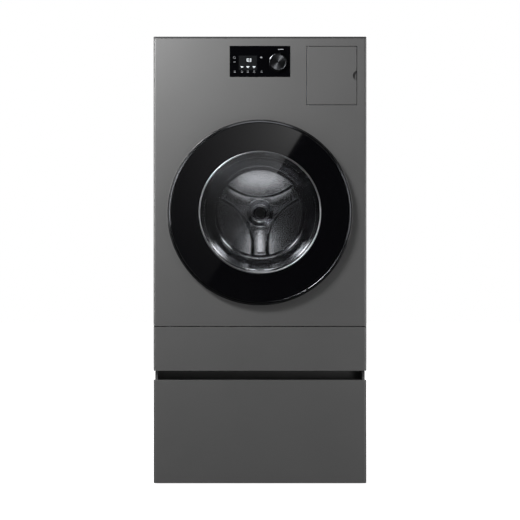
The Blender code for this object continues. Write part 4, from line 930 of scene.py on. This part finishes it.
def back_height(x, z):
    """How far forward of the drum's back the sheet stands at this place."""
    radius = sqrt(x * x + z * z)
    rise = STAR_RISE
    inside_edge = smooth((BACK_RADIUS - 5 * MM - radius) / (9 * MM))
    for angle in HOLLOW_ANGLES:
        off = sqrt((x - HOLLOW_REACH * cos(angle)) ** 2 + (z - HOLLOW_REACH * sin(angle)) ** 2)
        rise -= HOLLOW_DEPTH * smooth((HOLLOW_CIRCLE - off) / HOLLOW_SLOPE) * inside_edge
    rise += HUB_RISE * smooth((radius - HUB_START) / (5 * MM)) * smooth((HUB_END - radius) / (20 * MM))
    rise -= DIP * smooth((DIP_END - radius) / (4 * MM))
    for angle in HOLLOW_ANGLES:
        arm = angle + pi
        along = x * cos(arm) + z * sin(arm)
        side = abs(-x * sin(arm) + z * cos(arm))
        crown = CROWN * max(0.0, 1 - (side / CROWN_HALF) ** 2) ** 1.5
        rise += crown * smooth((along - CROWN_START) / (26 * MM)) * smooth((CROWN_END - along) / (14 * MM))
    return rise * smooth((BACK_RADIUS - radius) / (14 * MM))


bm = bmesh.new()
BACK_RINGS, BACK_STEPS = 84, 288
middle = bm.verts.new((0, FRONT_Y + BACK_Y - back_height(0, 0), DOOR_Z))
last = [middle] * BACK_STEPS
for ring in range(1, BACK_RINGS + 1):
    radius = (BACK_RADIUS - SKIN) * ring / BACK_RINGS
    fresh = []
    for step in range(BACK_STEPS):
        angle = 2 * pi * step / BACK_STEPS
        x, z = radius * cos(angle), radius * sin(angle)
        fresh.append(bm.verts.new((x, FRONT_Y + BACK_Y - back_height(x, z), DOOR_Z + z)))
    for step in range(BACK_STEPS):
        after = (step + 1) % BACK_STEPS
        corners = list(dict.fromkeys((last[step], last[after], fresh[after], fresh[step])))
        bm.faces.new(corners)
    last = fresh
drum_back = finish_mesh(bm, "drum_back_star", stainless, sharp=60)
sheet = drum_back.modifiers.new("sheet", "SOLIDIFY")
sheet.thickness = SKIN
sheet.offset = 1
apply_modifiers(drum_back)
fit(drum_back, "drum", "stainless_steel")
print("star back faces:", len(drum_back.data.polygons))

# %% Hub cap
hub_y = BACK_Y - back_height(0, 0)
hub_profile = (
    (0, 2.0 * MM),
    (6 * MM, 2.2 * MM),
    (7 * MM, 3.6 * MM),
    (13 * MM, 4.0 * MM),
    (16.4 * MM, 3.0 * MM),
    (17 * MM, 1.2 * MM),
    (16 * MM, 0.0),
    (0, 0.0),
)
hub = turn("drum_hub_cap", hub_profile, black_abs, Vector((DOOR_X, FRONT_Y + hub_y, DOOR_Z)), steps=64)
fit(hub, "drum", "black_plastic")
print(f"hub cap {hub_y:.3f} behind the front skin")

# %% [markdown]
# Three ridges along the wall lift the laundry. Each is lofted through rows of points, and a row is half an
# oval whose height swells after the front end and falls off quickly at the back.

# %% Lifters
LIFTER_START, LIFTER_END = DRUM_MOUTH_Y + 60 * MM, NARROWING_Y - 18 * MM
LIFTER_ROWS, LIFTER_SIDES = 22, 14
for count, angle in enumerate(LIFTER_ANGLES, start=1):
    turned_by = radians(angle)
    outward = Vector((cos(turned_by), 0, sin(turned_by)))
    sideways = Vector((-sin(turned_by), 0, cos(turned_by)))
    bm = bmesh.new()
    sections = []
    for row in range(LIFTER_ROWS + 1):
        t = row / LIFTER_ROWS
        swell = smooth(t / 0.22) * smooth((1 - t) / 0.12)
        height = (8 + 40 * swell) * MM
        half = (22 + 7 * swell) * MM
        depth = LIFTER_START + (LIFTER_END - LIFTER_START) * t
        foot = Vector((0, FRONT_Y + depth, DOOR_Z))
        line = []
        for step in range(LIFTER_SIDES + 1):
            a = pi * step / LIFTER_SIDES
            across = half * (cos(a) * (1 - 0.35 * sin(a)))
            reach = DRUM_RADIUS - 7 * MM - height * sin(a) ** 0.7
            line.append(bm.verts.new(foot + outward * reach + sideways * across))
        sections.append(line)
    for first, second in zip(sections, sections[1:]):
        for step in range(LIFTER_SIDES):
            bm.faces.new((first[step], first[step + 1], second[step + 1], second[step]))
        bm.faces.new((first[-1], first[0], second[0], second[-1]))
    bm.faces.new(sections[0])
    bm.faces.new(sections[-1])
    lifter = finish_mesh(bm, f"drum_lifter_ridge_{count}", stainless, sharp=50)
    fit(lifter, "drum", "stainless_steel", f"drum_lifter_{count}")
print(f"{count} lifters, {(LIFTER_END - LIFTER_START) / MM:.0f} mm long")

# %% [markdown]
# ## Display and dial
#
# The display is one flush black glass. Its figures light up from behind, so they are thin faces just under
# its surface that glow. They are plain bars and digits. The dial is brushed round its axis, which draws its
# highlight out into a fan.

# %% Display glass
display = block("display_glass", control_low, control_high, black_glass, edge=0.9 * MM, segments=3)
dial_low, dial_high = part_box("dial_knob")
DIAL_AT = Vector(((dial_low.x + dial_high.x) / 2, FRONT_Y, (dial_low.z + dial_high.z) / 2))
DIAL_RADIUS = (dial_high.x - dial_low.x) / 2
DIAL_PROUD = FRONT_Y - dial_low.y
DIAL_HOLE = 5 * MM
carve(display, disc_cutter(DIAL_AT, DIAL_HOLE, steps=48))
fit(display, "cabinet", "black_glass", "control_glass")
print(f"display {(control_high.x - control_low.x) / MM:.0f} mm wide, dial radius {DIAL_RADIUS:.4f}")

# %% Inks of the display
ink, tree, shader = new_material("lit_display_ink", "c8ccd0", roughness=0.5)
shader.inputs["Emission Color"].default_value = linear("cfd4d8")
shader.inputs["Emission Strength"].default_value = 0.42
fine_grain(tree, shader, 1.0, 0.004, 0.45, 0.55)
dim_ink, tree, shader = new_material("printed_grey_ink", "77797c", roughness=0.5)
fine_grain(tree, shader, 1.0, 0.004, 0.45, 0.55)
panel_ink, tree, shader = new_material("liquid_crystal_window", "101112", roughness=0.12)
fine_grain(tree, shader, 2.0, 0.002, 0.10, 0.16)
print("inks:", ink.name, dim_ink.name, panel_ink.name)

# %% Marks on the display
MIDDLE_X, MIDDLE_Z = (control_low.x + control_high.x) / 2, (control_low.z + control_high.z) / 2
SEGMENTS = {"0": "abcdef", "1": "bc", "3": "abgcd"}


def mark(bm, x, z, width, height, proud=0.12):
    """A thin bar of ink, a hair proud of the glass. All is in mm, and its place is from the glass's middle."""
    place = (MIDDLE_X + x * MM, FRONT_Y - proud * MM / 2, MIDDLE_Z + z * MM)
    size = (width * MM, (proud + 0.06) * MM, height * MM, 1)
    bmesh.ops.create_cube(bm, size=1.0, matrix=Matrix.Translation(place) @ Matrix.Diagonal(size))


def digit(bm, figure, x, z, height):
    """A seven-segment figure about its middle."""
    half, quarter, stroke, width = height / 2, height / 4, height * 0.11, height * 0.5
    bars = {"a": (0, half, width, stroke), "g": (0, 0, width, stroke), "d": (0, -half, width, stroke),
            "f": (-width / 2, quarter, stroke, half), "b": (width / 2, quarter, stroke, half),
            "e": (-width / 2, -quarter, stroke, half), "c": (width / 2, -quarter, stroke, half)}
    for letter in SEGMENTS[figure]:
        dx, dz, w, h = bars[letter]
        mark(bm, x + dx, z + dz, w, h)


def ink_piece(name, bm, finish):
    return fit(finish_mesh(bm, name, finish), "cabinet", "black_glass")


bm = bmesh.new()
mark(bm, -39, -4.5, 58, 46, proud=0.05)
ink_piece("display_window", bm, panel_ink)
bm = bmesh.new()
for place, figure in ((-44.5, "1"), (-38.5, "0"), (-31.5, "3")):
    digit(bm, figure, place, 4.5, 9)
for column in (-58, -39, -19):
    mark(bm, column, -16.5, 9, 1.4)
    mark(bm, column, -19.5, 6, 1.0)
ink_piece("display_figures", bm, ink)
bm = bmesh.new()
for place in (-81, -58, -39, -19, 5):
    mark(bm, place, -31, 4.5, 1.2)
    mark(bm, place, -35, 6.5, 1.2)
mark(bm, 4, 13, 6, 4.0)
mark(bm, -82, -2, 7, 1.2)
mark(bm, 67, 39, 18, 2.2)
touch_marks = ink_piece("display_touch_marks", bm, dim_ink)
POWER_AT = Vector((MIDDLE_X - 82 * MM, FRONT_Y, MIDDLE_Z + 12 * MM))
power_profile = ((3.0 * MM, 0), (3.0 * MM, 0.1 * MM), (3.7 * MM, 0.1 * MM), (3.7 * MM, 0))
fit(turn("display_power_mark", power_profile, dim_ink, POWER_AT, steps=32), "cabinet", "black_glass")
print("touch marks have", len(touch_marks.data.polygons), "faces")

# %% Dial
RING_MM = 0.25  # spacing of the fine rings that spinning leaves
brushed, tree, shader = new_material("spun_black_aluminium", "3a3b3d", metallic=1.0, roughness=0.34,
                                     Anisotropic=0.85)
brush_place = add_node(tree, "ShaderNodeTexCoord")
from_axis = add_node(tree, "ShaderNodeVectorMath", {0: brush_place.outputs["Object"]}, operation="SUBTRACT")
from_axis.inputs[1].default_value = DIAL_AT
ring_distance = add_node(tree, "ShaderNodeVectorMath", {0: from_axis.outputs[0]}, operation="LENGTH")
ring_noise = add_node(tree, "ShaderNodeTexNoise", {"W": ring_distance.outputs["Value"]}, noise_dimensions="1D",
                      Scale=1 / (RING_MM * MM), Detail=3.0)
ring_rough = add_node(tree, "ShaderNodeMapRange", {"Value": ring_noise.outputs["Fac"]},
                      To_Min=0.26, To_Max=0.42)
tree.links.new(ring_rough.outputs["Result"], shader.inputs["Roughness"])
round_axis = add_node(tree, "ShaderNodeVectorMath", {0: from_axis.outputs[0]}, operation="CROSS_PRODUCT")
round_axis.inputs[1].default_value = (0, 1, 0)
around = add_node(tree, "ShaderNodeVectorMath", {0: round_axis.outputs[0]}, operation="NORMALIZE")
tree.links.new(around.outputs[0], shader.inputs["Tangent"])
DIAL_STEM, STEM_DEEP = 4 * MM, 18 * MM
dial_profile = (
    (0, DIAL_PROUD - 1.2 * MM),
    (DIAL_RADIUS - 5.2 * MM, DIAL_PROUD - 1.2 * MM),
    (DIAL_RADIUS - 4.6 * MM, DIAL_PROUD - 0.9 * MM),
    (DIAL_RADIUS - 3.2 * MM, DIAL_PROUD - 0.2 * MM),
    (DIAL_RADIUS - 3.1 * MM, DIAL_PROUD - 3.0 * MM),
    (DIAL_RADIUS - 3.1 * MM, 0.8 * MM),
    (DIAL_STEM, 0.8 * MM),
    (DIAL_STEM, -STEM_DEEP),
    (0, -STEM_DEEP),
)
dial_face = turn("dial_face", dial_profile, brushed, DIAL_AT, steps=128)
fit(dial_face, "dial", "black_plastic", "dial_knob")
dial_rim_profile = (
    (DIAL_RADIUS - 3.0 * MM, 0.8 * MM),
    (DIAL_RADIUS - 3.0 * MM, DIAL_PROUD - 0.4 * MM),
    (DIAL_RADIUS - 2.2 * MM, DIAL_PROUD),
    (DIAL_RADIUS - 1.2 * MM, DIAL_PROUD - 0.3 * MM),
    (DIAL_RADIUS - 0.3 * MM, DIAL_PROUD - 1.6 * MM),
    (DIAL_RADIUS, DIAL_PROUD - 3.2 * MM),
    (DIAL_RADIUS, 0.8 * MM),
)
dial_rim = turn("dial_rim", dial_rim_profile, dark_chrome, DIAL_AT, steps=128)
fit(dial_rim, "dial", "stainless_steel")
print(f"dial stands {DIAL_PROUD / MM:.1f} mm proud")

# %% [markdown]
# ## Filter door, flap and drawer front
#
# These three are sheet fronts in the same coating as the cabinet. The filter door has a half-moon notch for
# a finger, the flap has a shallow scoop in its top edge, and the drawer front is one plain pressing.

# %% Filter door
def arc_reach(wide, deep):
    """The radius of the circle that cuts a bay this wide and this deep into an edge."""
    return (wide ** 2 / 4 + deep ** 2) / (2 * deep)


skin_low = filter_low + Vector((0, 0, FILTER_PIN))
skin_high = filter_high - Vector((0, 0, FILTER_PIN))
filter_skin = block("filter_door_skin", skin_low, skin_high, graphite, edge=0.7 * MM, segments=3)
NOTCH_IN, NOTCH_TALL = 12 * MM, 31 * MM
notch_reach = arc_reach(NOTCH_TALL, NOTCH_IN)
notch_at = Vector((filter_high.x - NOTCH_IN + notch_reach, FRONT_Y, (skin_low.z + skin_high.z) / 2))
carve(filter_skin, disc_cutter(notch_at, notch_reach, low=-9 * MM, high=0.02, steps=128))
fit(filter_skin, "filter_flap", "graphite_steel", "filter_door")
print("filter door", [round(v / MM) for v in skin_high - skin_low], "mm")

# %% Pins of the filter door
PIN_IN, PIN_RADIUS, PIN_LONG = 4 * MM, 1.5 * MM, 2.4 * MM
pins = bmesh.new()
for height in (skin_low.z - MM, skin_high.z + MM):
    pin_at = Matrix.Translation((filter_low.x + PIN_IN, FRONT_Y + PIN_IN, height))
    bmesh.ops.create_cone(pins, cap_ends=True, segments=24, radius1=PIN_RADIUS, radius2=PIN_RADIUS,
                          depth=PIN_LONG, matrix=pin_at)
ends_of_pins = [edge for edge in pins.edges if edge.calc_face_angle(0) > 1]
bmesh.ops.bevel(pins, geom=ends_of_pins, offset=0.2 * MM, segments=2, affect="EDGES")
fit(finish_mesh(pins, "filter_door_pins", zinc), "filter_flap", "galvanised_steel")
print("filter door turns on two pins", PIN_LONG / MM, "mm long")

# %% Flap and drawer front
flap_low, flap_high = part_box("lower_flap")
flap_skin = pressed("service_flap_skin", flap_low, flap_high, graphite, wall=2.5 * MM)
SCOOP_WIDE, SCOOP_DEEP = 42 * MM, 8 * MM
scoop_reach = arc_reach(SCOOP_WIDE, SCOOP_DEEP)
scoop_at = Vector((0, FRONT_Y, flap_high.z - SCOOP_DEEP + scoop_reach))
carve(flap_skin, disc_cutter(scoop_at, scoop_reach, low=-1.5 * MM, high=0.02, steps=160))
FLAP_HINGE_X, HINGE_HALF = 250 * MM, 6 * MM
flap_slots = [
    box_cutter((x - HINGE_HALF, FRONT_Y + 2.5 * MM, flap_low.z - 0.01),
               (x + HINGE_HALF, flap_high.y + 0.01, flap_low.z + 3.5 * MM))
    for x in (-FLAP_HINGE_X, FLAP_HINGE_X)
]
carve(flap_skin, *flap_slots)
fit(flap_skin, "service_flap", "graphite_steel", "lower_flap")
front_low, front_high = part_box("drawer_front")
drawer_skin = pressed("drawer_front_skin", front_low, front_high, graphite)
fit(drawer_skin, "drawer", "graphite_steel", "drawer_front")
print("flap and drawer front are pressed")

# %% [markdown]
# ## Back of the cabinet
#
# The back is a flat zinc-coated sheet. On a real machine it is held by a row of flanged hexagon screws, has
# a service plate over the drive, and louvres pressed out of it that let the heat pump breathe. Louvres could
# be cut right through, but their hoods hide the slots, so each is one hood, closed at the top and steep below.

# %% Louvres
back_low, back_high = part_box("back_panel")
REAR_FACE = back_high.y - 0.3 * MM
LOUVRE_LONG, LOUVRE_TALL, LOUVRE_PROUD, LOUVRE_TAPER = 92 * MM, 12 * MM, 5 * MM, 7 * MM
COLUMN_STEP, ROW_STEP, LOUVRE_ROWS = 118 * MM, 21 * MM, 8


def louvre_end(bm, outer_x, inner_x, foot_z):
    """One end of a louvre: five points, on the sheet at the outside and proud of it further in."""
    crest_y = REAR_FACE + LOUVRE_PROUD
    places = (
        (outer_x, REAR_FACE, foot_z),
        (inner_x, crest_y, foot_z + 0.8 * MM),
        (inner_x, crest_y, foot_z + 2.5 * MM),
        (inner_x, REAR_FACE + LOUVRE_PROUD * 0.5, foot_z + LOUVRE_TALL * 0.7),
        (outer_x, REAR_FACE, foot_z + LOUVRE_TALL),
    )
    return [bm.verts.new(place) for place in places]


bm = bmesh.new()
for column in (-1, 0, 1):
    for row in range(LOUVRE_ROWS):
        foot_z = back_low.z + 70 * MM + row * ROW_STEP
        middle_x = column * COLUMN_STEP
        left, right = [
            louvre_end(bm, middle_x + side * LOUVRE_LONG / 2,
                       middle_x + side * (LOUVRE_LONG / 2 - LOUVRE_TAPER), foot_z)
            for side in (-1, 1)
        ]
        for step in range(5):
            after = (step + 1) % 5
            bm.faces.new((left[step], left[after], right[after], right[step]))
        bm.faces.new(left)
        bm.faces.new(right)
fit(finish_mesh(bm, "back_panel_louvres", zinc, sharp=25), "cabinet", "galvanised_steel")
print("louvres:", 3 * LOUVRE_ROWS)

# %% Service plate and screws
PLATE_HALF, PLATE_THICK = 175 * MM, 1.6 * MM
plate_low = Vector((-PLATE_HALF, REAR_FACE, back_low.z + 290 * MM))
plate_high = Vector((PLATE_HALF, REAR_FACE + PLATE_THICK, back_low.z + 640 * MM))
plate = block("back_service_plate", plate_low, plate_high, zinc, edge=0.5 * MM, segments=3)
fit(plate, "cabinet", "galvanised_steel")


def screw_column(low_z, high_z, count, x, seat_y):
    """Places of screws up both sides, evenly from low to high."""
    heights = [low_z + (high_z - low_z) * step / (count - 1) for step in range(count)]
    return [(side * x, seat_y, height) for height in heights for side in (-1, 1)]


screw_places = screw_column(back_low.z + 30 * MM, back_high.z - 30 * MM, 6, back_high.x - 14 * MM, REAR_FACE)
screw_places += screw_column(plate_low.z + 15 * MM, plate_high.z - 15 * MM, 3, plate_high.x - 15 * MM,
                             plate_high.y)
FLANGE = (5.6 * MM, 1.0 * MM, 24, 0.4 * MM)  # radius, thickness, sides, middle above the seat
HEXAGON = (4.1 * MM, 3.4 * MM, 6, 2.0 * MM)
bm = bmesh.new()
for x, seat_y, height in screw_places:
    for radius, thick, sides, lift in (FLANGE, HEXAGON):
        place = Matrix.Translation((x, seat_y + lift, height)) @ Matrix.Rotation(-pi / 2, 4, "X")
        bmesh.ops.create_cone(bm, cap_ends=True, segments=sides, radius1=radius, radius2=radius * 0.93,
                              depth=thick, matrix=place)
fit(finish_mesh(bm, "back_panel_screws", zinc), "cabinet", "galvanised_steel")
print("back has", len(screw_places), "screws")
